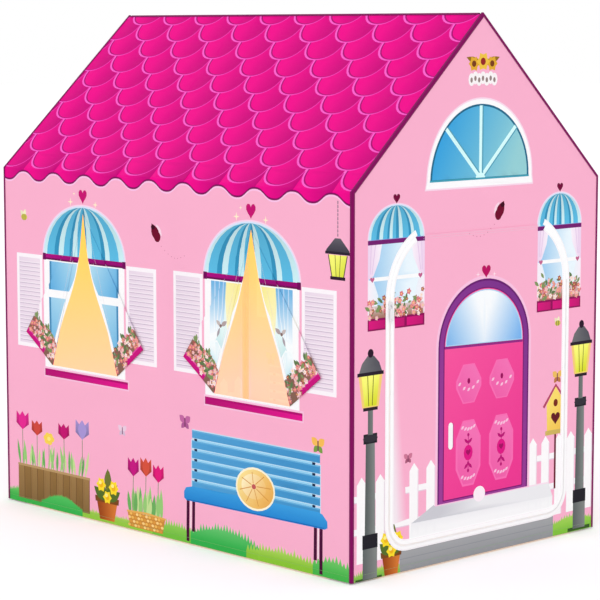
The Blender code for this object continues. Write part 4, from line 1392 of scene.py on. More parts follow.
# %% Lamp posts and nest box
def lamp_post(u, foot=0.004):
    """A lamp on its post, drawn from the foot up."""
    def grey(first, last, half):
        return fade(first, last, (u - half, 0), (u + half, 0))
    shaft, dark = grey((86, 92, 92), (132, 138, 136), 0.012), (34, 32, 40)
    rim = [(u - 0.0250, 0.378), (u - 0.0310, 0.379), (u - 0.021, 0.318), (u + 0.021, 0.318),
           (u + 0.0310, 0.379)]
    hood = mirrored(u, (0.030, 0.380), (0.022, 0.398), (0.008, 0.411))
    glow = fade((252, 252, 120), (216, 222, 44), (u - 0.006, 0.36), (u + 0.016, 0.33))
    bars = [((u + side * 0.0045, 0.321), (u + side * 0.0075, 0.376)) for side in (-1, 1)]
    return [
        (block(u, 0.0185, foot, 0.080), grey((96, 102, 102), (134, 138, 136), 0.018)),
        (block(u, 0.0195, 0.060, 0.086), dark),
        (mirrored(u, (0.0135, 0.086), (0.0115, 0.258)), shaft),
        (block(u, 0.0175, 0.252, 0.270), dark),
        (oval(u, 0.2615, 0.019, 0.0075, 12), (52, 50, 58)),
        (block(u, 0.0065, 0.268, 0.314), shaft),
        (block(u, 0.0185, 0.312, 0.3215), (46, 34, 44)),
        (rim, (246, 208, 120)),
        (mirrored(u, (0.0155, 0.320), (0.0235, 0.376)), glow),
        *(stroke(1.7 * MM, (96, 96, 40), *bar) for bar in bars),
        (hood, grey((112, 112, 116), (84, 84, 92), 0.02)),
        stroke(6.5 * MM, (40, 30, 44), (u - 0.0335, 0.3785), (u + 0.0335, 0.3785)),
        (oval(u, 0.4155, 0.0075, 0.0080, 12), (44, 24, 44)),
    ]


def nest_box(u):
    front = [(u - 0.025, 0.214), (u + 0.024, 0.214), (u + 0.026, 0.268), (u, 0.300), (u - 0.027, 0.266)]
    return [
        stroke(5.5 * MM, (104, 24, 44), (u, 0.098), (u, 0.214)),
        (front, fade((250, 222, 110), (242, 196, 84), (u - 0.02, 0.26), (u + 0.02, 0.22))),
        stroke(6 * MM, (178, 70, 100), (u - 0.036, 0.262), (u, 0.303), (u + 0.034, 0.266)),
        (oval(u, 0.268, 0.0065, 0.0075, 12), (120, 44, 30)),
        (heart(u, 0.239, 0.027), (98, 26, 36)),
        (box(u - 0.030, 0.206, u + 0.029, 0.215), (206, 180, 96)),
        *butterfly(u + 0.004, 0.318, 0.026, (238, 190, 96), (190, 120, 70)),
    ]


def garland(u, v):
    """Three golden blossoms over a pale scalloped ribbon, high on the gable."""
    art = []
    for drop, shape, ink in (
        (0.024, (0.0085, 0.012, 12), (250, 244, 246)), (0.025, (0.0035, 0.005, 8), (150, 130, 128))):
        art += [(oval(u + 0.0105 * n, v - drop - 0.003 * (n % 2), *shape), ink) for n in range(-3, 4)]
    for side in (-1, 1):
        art.append((leaf(u, v, u + side * 0.046, v + 0.014, 0.014), (150, 112, 30)))
        art += blossom(u + side * 0.025, v + 0.002, 0.030, (226, 172, 52), (120, 62, 30))
    return art + blossom(u, v + 0.006, 0.036, (240, 196, 70), (150, 40, 40))


print("lamp post outlines:", len(lamp_post(0)))

# %% Front drawing
def front_print():
    verge = (58, 92, 40)
    glare = [(-0.238, 0.095), (-0.1975, 0.10), (-0.2345, 0.48), (-0.238, 0.48)]
    return [
        *grass(-0.345, -0.19, 0.004, 0.020, (120, 190, 70), (196, 222, 110), 41),
        *grass(0.205, 0.345, 0.014, 0.034, (130, 196, 60), (170, 216, 96), 42),
        *fence(-0.335, -0.225, (-0.315, -0.267), 0.035, 0.193),
        *fence(-0.225, -0.118, (-0.180, -0.135), 0.035, 0.202),
        *fence(0.140, 0.335, (0.153, 0.190, 0.230, 0.268, 0.322), 0.045, 0.206),
        *grass(0.208, 0.345, 0.010, 0.030, (132, 198, 64), (176, 218, 100), 43),
        *step_and_path(),
        *printed_door(),
        (oval(-0.001, 0.119, 0.0165, 0.0150, 18), (252, 240, 248)),
        (box(-0.345, -0.01, -0.214, 0.010), (132, 190, 80)),
        *flower_pot(-0.238, 0.002, 0.94, 0.84),
        (box(-0.330, 0.001, -0.262, 0.007), verge),
        (box(0.262, 0.004, 0.330, 0.011), verge),
        *nest_box(0.219),
        *lamp_post(-0.293),
        *lamp_post(0.296, 0.008),
        *small_window(-0.228, 0.070, 0.500, 0.612, 0.677, 0.455, 3),
        *small_window(0.225, 0.063, 0.500, 0.610, 0.676, 0.450, 4),
        (glare, fade((246, 240, 245), WALL_PINK, (-0.230, 0.12), (-0.2001, 0.1229))),
        *fan_window(),
        *garland(0.0, 0.925),
        *ladybird(0.0495, 0.651, -1.0),
        *butterfly(-0.196, 0.212, 0.020, (206, 120, 150), (170, 90, 120)),
        *bee(0.222, 0.424, 0.8),
    ]


front_art = front_print()
print("the front's print has", len(front_art), "outlines")

# %% [markdown]
# ## The rear gable's print
# The photograph doesn't show the back. Such tents carry the simplest part of their print there, so
# the rear gets the same fan window, the fence and the grass, and a row of tulips.

# %% Rear drawing
def rear_print():
    art = grass(-0.345, 0.345, 0.010, 0.022, (140, 200, 60), (196, 222, 110), 51)
    art += fence(-0.335, 0.335, [-0.315 + 0.045 * n for n in range(15)], 0.035, 0.196)
    for n, (left, right) in enumerate(((-0.345, -0.16), (-0.20, 0.02), (-0.02, 0.20), (0.16, 0.345))):
        art += grass(left, right, 0.012, 0.040, GRASS if n % 2 else GRASS_DARK, (140, 210, 130), 52 + n)
    tones = ((230, 40, 146), (208, 72, 62), (178, 150, 206), (226, 22, 122), (250, 196, 60))
    for n in range(7):
        u = -0.27 + 0.09 * n
        art += tulip(u, 0.03, 0.112 + 0.012 * (n % 3), 0.026, tones[n % 5])
        art += blades(u, 0.03, 0.085, 0.03, 4, 60 + n)
    art += fan_window() + ladybird(0.10, 0.50, -1.0)
    return art + butterfly(-0.14, 0.36, 0.030, (206, 120, 170), (182, 96, 150))


rear_art = rear_print()
print("the rear's print has", len(rear_art), "outlines")

# %% [markdown]
# ## Hang the walls and the roof
# The two side cloths each make a wall and half of the roof. The left one is cut for its windows. The
# right one is the same print turned round, and its windows aren't cut. Each edge runs 1.5 mm
# into the binding that will cover it.

# %% Side cloths
EDGE_BITE = 1.5 * MM


def side_edge():
    reach, top = SIDE_REACH + EDGE_BITE, ROOF_TOP + EDGE_BITE
    levels = sorted([HEM + GRID * n for n in range(1, int((top - HEM) / GRID))] + BEND_ROWS)
    across = [-reach + 2 * reach * n / 86 for n in range(87)]
    right = [(reach, v) for v in levels]
    left = [(-reach, v) for v in reversed(levels)]
    return [(u, HEM) for u in across] + right + [(u, top) for u in reversed(across)] + left


def window_hole(across):
    return [(across - WINDOW_HALF, SILL), (across + WINDOW_HALF, SILL), (across, WINDOW_TOP)]


holes = [stepped(window_hole(across)) for across in (-WINDOW_ASIDE, WINDOW_ASIDE)]
cut_width, cut_length = 2 * SIDE_REACH, ROOF_TOP - HEM
window_area = 2 * WINDOW_HALF * (WINDOW_TOP - SILL)
side_cloths = []
# an area is given only where the cut isn't a whole rectangle
for side, place, slack, cuts, area in (
    ("left", left_place, side_slack, holes, cut_width * cut_length - window_area),
    ("right", right_place, whole_slack, [], None)):
    drawn = collage(side_edge(), cuts, side_art, WALL_PINK, BEND_ROWS)
    cloth = hung(f"{side}_side_cloth", drawn, place, slack)
    fitted([cloth], "tent", "side_cloth", f"{side}_side_panel")
    side_cloths.append(cloth)
face_counts = [len(cloth.data.polygons) for cloth in side_cloths]
print("side cloths:", face_counts, "faces;", round(cut_width, 3), "by", round(cut_length, 3), "m")

# %% The doorway's outline
DOOR_HALF, DOOR_FOOT, DOOR_HEAD, SHOULDER = 0.245, 0.052, 0.620, 0.508
FOOT_ROUND = 0.045
SHOULDER_RUN = DOOR_HALF - 0.175
SHOULDER_ROUND = ((DOOR_HEAD - SHOULDER) ** 2 + SHOULDER_RUN ** 2) / (2 * SHOULDER_RUN)


def door_reach(v, out):
    """Half the doorway's width at a height, moved out from the zip's line."""
    if v > SHOULDER:
        return DOOR_HALF - SHOULDER_ROUND + math.sqrt((SHOULDER_ROUND + out) ** 2 - (v - SHOULDER) ** 2)
    below = DOOR_FOOT + FOOT_ROUND - v
    if below > 0:
        return DOOR_HALF - FOOT_ROUND + math.sqrt(max((FOOT_ROUND + out) ** 2 - below ** 2, 0))
    return DOOR_HALF + out


def door_levels(low, high, out):
    """Heights up one side of the doorway, close together where it curves."""
    corner, top = DOOR_FOOT + FOOT_ROUND, SHOULDER + (SHOULDER_ROUND + out) * 0.9
    levels = [corner - (FOOT_ROUND + out) * math.cos(n * math.pi / 32) for n in range(17)]
    levels += [SHOULDER + (SHOULDER_ROUND + out) * math.sin(n * math.pi / 40) for n in range(20)]
    levels += [corner + GRID * n for n in range(int((SHOULDER - corner) / GRID) + 1)]
    return [low] + sorted(v for v in levels if low + MM < v < high - MM) + [high]


def door_side(low, high, out):
    return [(door_reach(v, out), v) for v in door_levels(low, high, out)]


def door_outline(low, high, out):
    """A closed outline of the doorway between two heights."""
    right = door_side(low, high, out)
    return stepped(right + [(-u, v) for u, v in reversed(right)])


print("doorway:", round(2 * DOOR_HALF, 3), "m wide,", round(DOOR_HEAD - DOOR_FOOT, 3), "m high")

# %% Gable cloths
SEAM, SETBACK = 10 * MM, 3 * MM
GABLE_INSET = 5.3 * MM
DOOR_CORNERS = 0.02  # square metres that the doorway's rounded corners take off its box
doorway = door_outline(DOOR_FOOT - SETBACK, DOOR_HEAD - SEAM, SETBACK)
edge = stepped(gable(GABLE_INSET - EDGE_BITE))
gable_area = 2 * GABLE_REACH * (EAVE_HEIGHT - HEM) + GABLE_REACH * (gable_high.z - EAVE_HEIGHT)
door_area = 2 * DOOR_HALF * (DOOR_HEAD - DOOR_FOOT) - DOOR_CORNERS
gable_cloths = []
for end, cuts, art, place, slack, area in (
    ("front", [doorway], front_art, front_place, gable_slack, gable_area - door_area),
    ("rear", [], rear_art, rear_place, whole_gable_slack, gable_area)):
    cloth = hung(f"{end}_cloth", collage(edge, cuts, art, WALL_PINK), place, slack)
    fitted([cloth], "tent", "gable_cloth", f"{end}_wall")
    gable_cloths.append(cloth)
face_counts = [len(cloth.data.polygons) for cloth in gable_cloths]
print("gable cloths:", face_counts, "faces; whole area", round(gable_area, 3), "m2")

# %% [markdown]
# ## Window flaps
# Each window is closed by two triangles of cloth that fold back on their slanted edges. They show
# the print on both faces. The outer face of a folded flap carries on the picture beside it, and its
# foot still shows the flower box that belongs across the window. A flap is two layers back to back,
# so its cut is twice its face, and a rolled hem goes all round it.

# %% Flap shapes
def folded_over(point, start, end):
    """A point mirrored in the line through two others."""
    start = Vector(start)
    run = (Vector(end) - start).normalized()
    offset = Vector(point) - start
    return tuple(start + 2 * offset.dot(run) * run - offset)


def moved_in(outline, distance):
    """A small convex outline with its sides moved inwards."""
    middle = sum((Vector(point) for point in outline), Vector((0, 0))) / len(outline)
    lines = []
    for start, end in zip(outline, outline[1:] + outline[:1]):
        run = (Vector(end) - Vector(start)).normalized()
        side = Vector((-run.y, run.x))
        side *= math.copysign(distance, side.dot(middle - Vector(start)))
        lines.append((Vector(start) + side, run))
    corners = []
    for (a, along_a), (b, along_b) in zip(lines[-1:] + lines[:-1], lines):
        corners.append(tuple(a + (b - a).cross(along_b) / along_a.cross(along_b) * along_a))
    return corners


def flap_corners(across, side):
    """The closed flap's foot, outer corner and head."""
    return (across, SILL), (across + side * WINDOW_HALF, SILL), (across, WINDOW_TOP)


print("a flap's tip lies at", folded_over(*flap_corners(WINDOW_ASIDE, 1)))

# %% Flap prints
BOX_HIGH, BOX_BROWN, TRIM = 0.050, (134, 98, 84), (253, 253, 254)


def flower_band(corner, head, tip, seed):
    """The flower box on a folded flap: its band runs from the window's corner to the flap's tip."""
    start, run = Vector(corner), Vector(tip) - Vector(corner)
    length = run.length
    run.normalize()
    up = Vector((-run.y, run.x))
    if up.dot(Vector(head) - start) < 0:
        up = -up
    drawn = [
        (box(0.0, 0.0, length, 0.046), BOX_BROWN),
        *flower_box(0.35 * length, length, 0.0, BOX_HIGH, seed),
        *blossoms(0.004, 0.5 * length, 0.004, 0.046, 26, seed + 20),
        *blossoms(0.004, length - 0.004, 0.014, BOX_HIGH, 40, seed + 40),
    ]
    art = []
    for outline, ink in drawn:
        inked = ink(length / 2, 0.01) if callable(ink) else ink
        art.append(([tuple(start + u * run + v * up) for u, v in outline], inked))
    return art


def flap_art(across, side, seed):
    """The outer print of a folded flap: the wall's picture, a white edge and the flower box."""
    foot, corner, head = flap_corners(across, side)
    tip = folded_over(foot, corner, head)
    ends = [tuple(Vector(corner).lerp(Vector(point), share)) for point, share in ((tip, 0.13), (head, 0.46))]
    return side_art + [([corner, *ends], TRIM)] + flower_band(corner, head, tip, seed)


print("flap print outlines:", len(flap_art(WINDOW_ASIDE, 1, 6)))

# %% Flap cloths
FLAP_LIFT, LAYER_GAP = 2.6 * MM, 0.6 * MM


def flap_place(across, side):
    """A rule that lays a folded flap on the wall, its free side lifted a little."""
    foot, corner, head = (Vector(point) for point in flap_corners(across, side))
    run = (head - corner).normalized()
    away = Vector((run.y, -run.x)) * side
    def place(u, v, out):
        aside = max((Vector((u, v)) - corner).dot(away), 0)
        along = (Vector((u, v)) - corner).dot(run)
        lift = FLAP_LIFT * (aside / WINDOW_HALF) ** 1.7 * (1 + 0.35 * math.sin(along * 21 + across))
        return left_place(u, v, out + lift)
    return place


def flap(name, node, across, side, window_art):
    """A flap's two layers in one piece, with what its hem needs to follow it."""
    foot, corner, head = flap_corners(across, side)
    art, place = flap_art(across, side, 5 + side), flap_place(across, side)
    closed = moved_in([foot, corner, head], LAYER_GAP)
    outer_edge = stepped([folded_over(point, corner, head) for point in closed])
    outer = collage(outer_edge, [], art, WALL_PINK)
    for vert in outer.verts:
        vert.co = place(vert.co.x, vert.co.y, FLAP_OUT)
    face = keep(outer, name, [print_cloth])
    back = collage(stepped(closed), [], window_art, WALL_PINK)
    for vert in back.verts:
        vert.co = place(*folded_over((vert.co.x, vert.co.y), corner, head), GAP)
    back_mesh = bpy.data.meshes.new(name + "_back")
    back.to_mesh(back_mesh)
    back.free()
    both = bmesh.new()
    both.from_mesh(face.data)
    both.from_mesh(back_mesh)
    both.to_mesh(face.data)
    both.free()
    face.data.shade_smooth()
    fitted([face], node, "window_cloth", node)
    return face, outer_edge, place, art


WINDOWS = (("front", WINDOW_ASIDE, front_window_art), ("rear", -WINDOW_ASIDE, rear_window_art))
flaps = []
for window, across, drawing in WINDOWS:
    for name, side in (("front", 1), ("rear", -1)):
        node = f"{window}_window_flap_{name}"
        made = flap(f"{window}_window_{name}_flap_cloth", node, across, side, drawing)
        flaps.append((node, across, side, *made))
print("flaps:", [item[0] for item in flaps])

# %% Fold curves
CURVE_START, CURVE_FULL, CURVE_THICK, CURVE_STEPS = 0.2, 0.8, 0.15 * MM, 24
TRIM_TOP, TRIM_THIN, TRIM_WIDE = 0.67, 2.5 * MM, 16 * MM
BOWS = {"front": 0.32, "rear": 0.55}


def fold_curve(across, side, bow):
    """The sliver of cloth between a straight fold and the curve that soft cloth folds along."""
    fold, edge, trim = [], [], []
    for n in range(CURVE_STEPS + 1):
        share = CURVE_START + (1 - CURVE_START) * n / CURVE_STEPS
        v, half = SILL + share * (WINDOW_TOP - SILL), side * WINDOW_HALF * (1 - share)
        width = half * bow * rise(share, CURVE_START, CURVE_FULL)
        white = min(abs(width), TRIM_THIN + TRIM_WIDE * (1 - rise(share, 0.34, 0.6))) * (share < TRIM_TOP)
        fold.append((across + half, v))
        edge.append((across + half - width, v))
        trim.append((across + half - width + side * white, v))
    return fold + edge[-2:0:-1], trim + edge[::-1]


curves = []
for window, across, _ in WINDOWS:
    for side in (1, -1):
        outline, trim = fold_curve(across, side, BOWS[window])
        cloth = collage(outline, [], side_art + [(trim, TRIM)], WALL_PINK)
        name = f"{window}_window_fold_{len(curves)}"
        curves.append(hung(name, cloth, left_place, no_slack, glow_lining, CURVE_THICK))
fitted(curves, "tent", "side_cloth")
print("fold curves:", [len(piece.data.polygons) for piece in curves])

# %% [markdown]
# ## Strips and tubes
# Tape, binding and hems are all long thin things that follow a line. Each starts as a flat grid: one
# way along the line, the other way across it. Moving the grid's points to the line gives a strip, and
# rolling the cross direction round gives a tube. Repeated small things, such as stitches and zip
# teeth, are one little shape copied along the line.

# %% Along a line
def spaced(points, step):
    """A line of points walked off again at one spacing."""
    points = [Vector(point) for point in points]
    reach = [0.0]
    for start, end in zip(points, points[1:]):
        reach.append(reach[-1] + (end - start).length)
    count = max(2, round(reach[-1] / step))
    walked, at = [], 0
    for n in range(count + 1):
        goal = reach[-1] * n / count
        while at < len(points) - 2 and reach[at + 1] < goal:
            at += 1
        span = reach[at + 1] - reach[at]
        walked.append(points[at].lerp(points[at + 1], (goal - reach[at]) / span if span else 0))
    return walked


def headings(points):
    """The direction of a line at each of its points."""
    pairs = zip(points[:1] + points[:-1], points[1:] + points[-1:])
    return [(after - before).normalized() for before, after in pairs]


def length_of(line):
    spots = spaced(line, GRID)
    return sum((b - a).length for a, b in zip(spots, spots[1:]))


def grid_along(name, paints, count, across, rule, tube=False, tones=()):
    """A grid bent to a rule, which takes a point's number and its share across to a place and a
    place in the cloth map. A tube's first and last rows across are one. Its tones are its print."""
    shape = bmesh.new()
    bmesh.ops.create_grid(shape, x_segments=count - 1, y_segments=across, size=0.5)
    def spot(vert):
        return round((vert.co.x + 0.5) * (count - 1)), vert.co.y + 0.5
    layer = shape.loops.layers.uv.new("cloth")
    dyes = shape.loops.layers.float_color.new("print") if tones else None
    for face in shape.faces:
        for loop in face.loops:
            number, share = spot(loop.vert)
            loop[layer].uv = rule(number, share)[1]
            if tones:
                loop[dyes] = tones[number]
    for vert in shape.verts:
        vert.co = rule(*spot(vert))[0]
    if tube:
        bmesh.ops.remove_doubles(shape, verts=shape.verts, dist=0.001 * MM)
        bmesh.ops.recalc_face_normals(shape, faces=shape.faces)
    return keep(shape, name, paints)


def small_mesh(name, shape):
    """A finished bmesh as a mesh to make copies of."""
    mesh = bpy.data.meshes.new(name)
    shape.to_mesh(mesh)
    shape.free()
    return mesh


def copies(name, paint, template, places):
    """One small mesh copied to many places, each a matrix."""
    points = np.array([vert.co for vert in template.vertices])
    moved = [points @ np.array(place.to_3x3()).T + np.array(place.translation) for place in places]
    sides = [polygon.vertices[:] for polygon in template.polygons]
    starts = range(0, len(points) * len(places), len(points))
    faces = [[start + corner for corner in side] for start in starts for side in sides]
    mesh = bpy.data.meshes.new(name)
    mesh.from_pydata(np.concatenate(moved).tolist(), [], faces)
    shape = bmesh.new()
    shape.from_mesh(mesh)
    return keep(shape, name, [paint])


def frame_at(place, along, out):
    """A matrix at a place, with X along a line and Z out of the cloth."""
    side = out.cross(along).normalized()
    turn = Matrix((along, side, out)).transposed().to_4x4()
    return Matrix.Translation(place) @ turn


print("a line of 1 m at 12 mm:", len(spaced([(0, 0), (1, 0)], GRID)), "points")

# %% [markdown]
# ## Thread
# The seams are sewn with a light thread, about three stitches to the centimetre. A stitch is a thin
# bead of thread that dips into the cloth at both ends. Each has only a few faces, because there are
# many hundreds of them.

# %% Stitches
STITCH, STITCH_PITCH, THREAD, PROUD = 2.7 * MM, 3.6 * MM, 0.32 * MM, 0.12 * MM


def plain_paint(name, colour, roughness, grain, scale, sheen=0.0, specular=0.4):
    """A paint whose tone and roughness wander a little, on the piece's own coordinates."""
    paint, tree, shader = paint_of(name)
    place = add(tree, "ShaderNodeTexCoord").outputs["Object"]
    speckle = add(tree, "ShaderNodeTexNoise", Scale=scale, Detail=4.0)
    tree.links.new(place, speckle.inputs["Vector"])
    dark = tuple(channel * (1 - grain) for channel in dye(colour, 0, 0)[:3]) + (1,)
    tint = blend_colours(tree, "MIX", speckle.outputs["Fac"], dark, dye(colour, 0, 0))
    tree.links.new(tint, shader.inputs["Base Color"])
    spread = math_node(tree, "MULTIPLY", speckle.outputs["Fac"], 0.12)
    tree.links.new(math_node(tree, "ADD", roughness - 0.06, spread), shader.inputs["Roughness"])
    bump = add(tree, "ShaderNodeBump", Strength=0.2, Distance=0.2 * MM)
    tree.links.new(speckle.outputs["Fac"], bump.inputs["Height"])
    tree.links.new(bump.outputs[0], shader.inputs["Normal"])
    shader.inputs["Sheen Weight"].default_value = sheen
    shader.inputs["Specular IOR Level"].default_value = specular
    return paint


def thread_of(name, colour):
    return plain_paint(name, colour, 0.6, 0.25, 900, sheen=0.3)


thread_paint = thread_of("sewing_thread", (246, 226, 236))
plum_thread = thread_of("binding_thread", (150, 40, 120))
grass_thread = thread_of("hem_thread", (142, 186, 116))
bead = bmesh.new()
bmesh.ops.create_uvsphere(bead, u_segments=6, v_segments=5, radius=1)
bmesh.ops.rotate(bead, verts=bead.verts, matrix=Matrix.Rotation(math.pi / 2, 3, "Y"))
bmesh.ops.scale(bead, verts=bead.verts, vec=(STITCH / 2, THREAD, THREAD))
stitch = small_mesh("stitch", bead)


def seam(lines, place, out):
    """Matrices for the stitches along lines of a panel, laid on it by its rule."""
    made = []
    for line in lines:
        spots = spaced(line, STITCH_PITCH)
        for spot, way in zip(spots, headings(spots)):
            here = place(spot.x, spot.y, out)
            ahead = place(spot.x + way.x * MM, spot.y + way.y * MM, out)
            aside = place(spot.x - way.y * MM, spot.y + way.x * MM, out)
            along = (ahead - here).normalized()
            made.append(frame_at(here, along, along.cross(aside - here).normalized()))
    return made


print("a stitch has", len(stitch.polygons), "faces")

# %% [markdown]
# ## The zip
# The doorway's zip is two white tapes with a coil of nylon teeth sewn to each. The wall's tape runs
# down one side of the doorway, along the foot and up the other. The door's own tape mirrors it. The
# tapes arch a little, as sewn tape does, and that gives the soft white band seen round the door.

# %% Zip tapes
TAPE_WIDE, TAPE_THICK, TAPE_START, TAPE_ROW = 10.5 * MM, 0.5 * MM, 0.45 * MM, 8.6 * MM
TAPE_STEP, TAPE_TUCK = 6 * MM, 1.6 * MM
COIL_FACE, COIL_WIDE, COIL_START = 2.7 * MM, 2.2 * MM, 0.15 * MM
ZIP_TOP = SHOULDER - GAP
FOLDS = [DOOR_HEAD - n * (DOOR_HEAD - DOOR_FOOT) / 3 for n in range(4)]
DOOR_SPLIT = (FOLDS[1] + FOLDS[2]) / 2


def zip_line(top, low=None):
    """The zip's line. Down the left, along the foot and up the right, or both sides from a height."""
    right = door_side(DOOR_FOOT if low is None else low, top, 0)
    left = [(-u, v) for u, v in reversed(right)]
    return [left + right] if low is None else [left, right]


def beside(line, aside):
    """A line walked at the stitches' spacing and moved sideways, outwards from the doorway."""
    spots = spaced(line, STITCH_PITCH)
    return [(spot.x + way.y * aside, spot.y - way.x * aside) for spot, way in zip(spots, headings(spots))]


white_tape = woven("zip_tape", (254, 254, 255), THREADS * 0.7, 30.0, 0.5 * MM, 0.02, 0.1)[0]
coil_paint = plain_paint("nylon_teeth", (253, 253, 254), 0.35, 0.05, 600, specular=0.5)


def tape(name, lines, side, base, arched):
    """Strips of tape beside the zip's line, on the wall's side (1) or the door's side (-1). The
    base is the height of their backs, and their thickness stands on it."""
    shape = bmesh.new()
    for line in lines:
        spots = spaced(line, TAPE_STEP)
        ways = headings(spots)
        def rule(number, share):
            spot, way = spots[number], ways[number]
            near = TAPE_START - (TAPE_TUCK * rise(spot.y, SHOULDER, SHOULDER + 8 * MM) if side > 0 else 0)
            aside = near + share * (TAPE_WIDE - near)
            out = base + arched * math.sin(math.pi * min(share * 1.05, 1)) ** 0.8
            place = front_place(spot.x + side * way.y * aside, spot.y - side * way.x * aside, out)
            return place, (number * TAPE_STEP, aside)
        part = grid_along(name + "_part", [white_tape], len(spots), 6, rule)
        if side < 0:
            part.data.flip_normals()
        shape.from_mesh(part.data)
        bpy.data.objects.remove(part)
    piece = keep(shape, name, [white_tape])
    thick = piece.modifiers.new("thickness", "SOLIDIFY")
    thick.thickness, thick.offset = TAPE_THICK, -1
    return settled(piece)


print("zip folds at", [round(v, 4) for v in FOLDS])

# %% Zip teeth
TOOTH_PITCH, TOOTH_LONG = 1.5 * MM, 0.95 * MM
tooth_shape = bmesh.new()
bmesh.ops.create_cube(tooth_shape, size=1)
edges = tooth_shape.edges[:]
bmesh.ops.bevel(tooth_shape, geom=edges, offset=0.28, segments=1, profile=0.5, affect="EDGES", material=-1)
tooth_size = (TOOTH_LONG, COIL_WIDE, COIL_FACE - GAP - 0.1 * MM)
bmesh.ops.scale(tooth_shape, verts=tooth_shape.verts, vec=tooth_size)
tooth = small_mesh("tooth", tooth_shape)


def teeth(name, lines, side):
    """A coil's teeth along the line. The two coils' teeth lie half a pitch apart, so they mesh."""
    places = []
    aside, shift = COIL_START + COIL_WIDE / 2, 0.25 * side * TOOTH_PITCH
    for line in lines:
        spots = spaced(line, TOOTH_PITCH)
        for spot, way in zip(spots, headings(spots)):
            flat = spot + way * shift
            u, v = flat.x + side * way.y * aside, flat.y - side * way.x * aside
            place = front_place(u, v, (GAP + COIL_FACE) / 2)
            places.append(frame_at(place, Vector((way.x, 0, way.y)), Vector((0, -1, 0))))
    return copies(name, coil_paint, tooth, places)


print("a tooth has", len(tooth.polygons), "faces")

# %% Wall half of the zip
wall_tape = tape("wall_tape_cloth", zip_line(DOOR_HEAD), 1, GAP, 0.6 * MM)
wall_teeth = teeth("wall_teeth", zip_line(ZIP_TOP), 1)


def wall_stops():
    """Moulded end stops over the top of each straight run of the coil."""
    shape = bmesh.new()
    for side in (-1, 1):
        across = side * (DOOR_HALF + COIL_START + COIL_WIDE / 2)
        middle = Vector((across, -HALF_LENGTH - COIL_FACE - 0.35 * MM, ZIP_TOP - 2 * MM))
        made = bmesh.ops.create_cube(shape, size=1)["verts"]
        bmesh.ops.scale(shape, verts=made, vec=(COIL_WIDE, 1.5 * MM, 4 * MM))
        bmesh.ops.translate(shape, verts=made, vec=middle)
    edges = shape.edges[:]
    bmesh.ops.bevel(shape, geom=edges, offset=0.5 * MM, segments=2, profile=0.5, affect="EDGES", material=-1)
    return keep(shape, "zip_stops", [coil_paint])


zip_stops = wall_stops()
tape_rows = [beside(line, TAPE_ROW) for line in zip_line(DOOR_HEAD - 2 * MM)]
places = seam(tape_rows, front_place, GAP + TAPE_THICK + 0.35 * MM)
wall_stitches = copies("wall_tape_stitches", thread_paint, stitch, places)
fitted([wall_tape, wall_teeth, zip_stops, wall_stitches], "tent", "zip_tape", "wall_zip_tape")
zip_length = length_of(zip_line(DOOR_HEAD)[0])
tooth_count = len(wall_teeth.data.polygons) // len(tooth.polygons)
print("the zip is", round(zip_length, 3), "m long with", tooth_count, "teeth on the wall's side")

# %% [markdown]
# ## The door
# The door hangs from a seam at its top and rolls up. The model lets it fold along two lines, so the
# cloth, its tape and its teeth are each made in an upper and a lower half, and each half's cloth has
# close rows of points about its fold. The halves meet in the middle of a panel, where nothing bends.

# %% Door cloths
DOOR_INSET, TAPE_CLEAR = 1.5 * MM, 2.5 * MM
door_low, door_high = DOOR_FOOT + SETBACK, DOOR_HEAD - 0.5 * MM
door_halves = {
    "upper": (DOOR_SPLIT, door_high, "door_flap_top", "door_flap_middle", FOLDS[1], 0.93),
    "lower": (door_low, DOOR_SPLIT, "door_flap_middle", "door_flap_bottom", FOLDS[2], 0.99),
}
zip_runs = {
    "upper": (zip_line(door_high - TAPE_CLEAR, DOOR_SPLIT), zip_line(ZIP_TOP, DOOR_SPLIT)),
    "lower": (zip_line(DOOR_SPLIT), zip_line(DOOR_SPLIT)),
}


def bends(piece, half, slot):
    """Hides the two door segments of the piece's half and makes the piece's placing part of its mesh."""
    first, second, fold = door_halves[half][2:5]
    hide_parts(first, second)
    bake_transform(piece)


def door_place(u, v, out):
    return front_place(u, v, FLAP_OUT + out)


for half, (low, high, first, second, fold, share) in door_halves.items():
    rows = [fold + 5 * MM * n for n in range(-5, 6)]
    drawn = collage(door_outline(low, high, -DOOR_INSET), [], front_art, WALL_PINK, rows)
    cloth = hung(f"door_cloth_{half}", drawn, door_place, no_slack, print_back)
    runs, coil_runs = zip_runs[half]
    strips = tape(f"door_tape_{half}", runs, -1, FLAP_OUT, 0.5 * MM)
    coil = teeth(f"door_teeth_{half}", coil_runs, -1)
    tape_rows = [beside(line, -TAPE_ROW) for line in runs]
    places = seam(tape_rows, front_place, FLAP_OUT + TAPE_THICK + 0.3 * MM)
    if half == "upper":
        across = door_reach(high, 0) - 0.018
        head_rows = [[(-across, high - drop), (across, high - drop)] for drop in (3 * MM, 7 * MM)]
        places += seam(head_rows, front_place, FLAP_OUT + PROUD)
    sewn = copies(f"door_stitches_{half}", thread_paint, stitch, places)
    for piece, slot in ((cloth, "door_cloth"), (strips, "zip_tape"), (coil, "zip_tape"), (sewn, "zip_tape")):
        bends(piece, half, slot)
    tape_length = sum(length_of(line) for line in runs)
    tooth_count = len(coil.data.polygons) // len(tooth.polygons)
    print("door", half, "cloth:", len(cloth.data.polygons), "faces; teeth:", tooth_count)

# %% [markdown]
# ## Bindings
# Where two cloths meet along the gables and the ridge, a folded plum tape is sewn over both raw
# edges. It stands a little proud as a round bead and draws the dark outline of the house.

# %% Binding tapes
BEAD, BEAD_INSET, LEG, LEG_FACE, LEG_BACK = 2.0 * MM, 1.2 * MM, 5.4 * MM, 0.85 * MM, 0.3 * MM
BINDING_STEP = 8 * MM
plum_tape = woven("plum_binding", (128, 6, 90), THREADS * 0.8, 40.0, 0.5 * MM, 0.12, 0.15)[0]


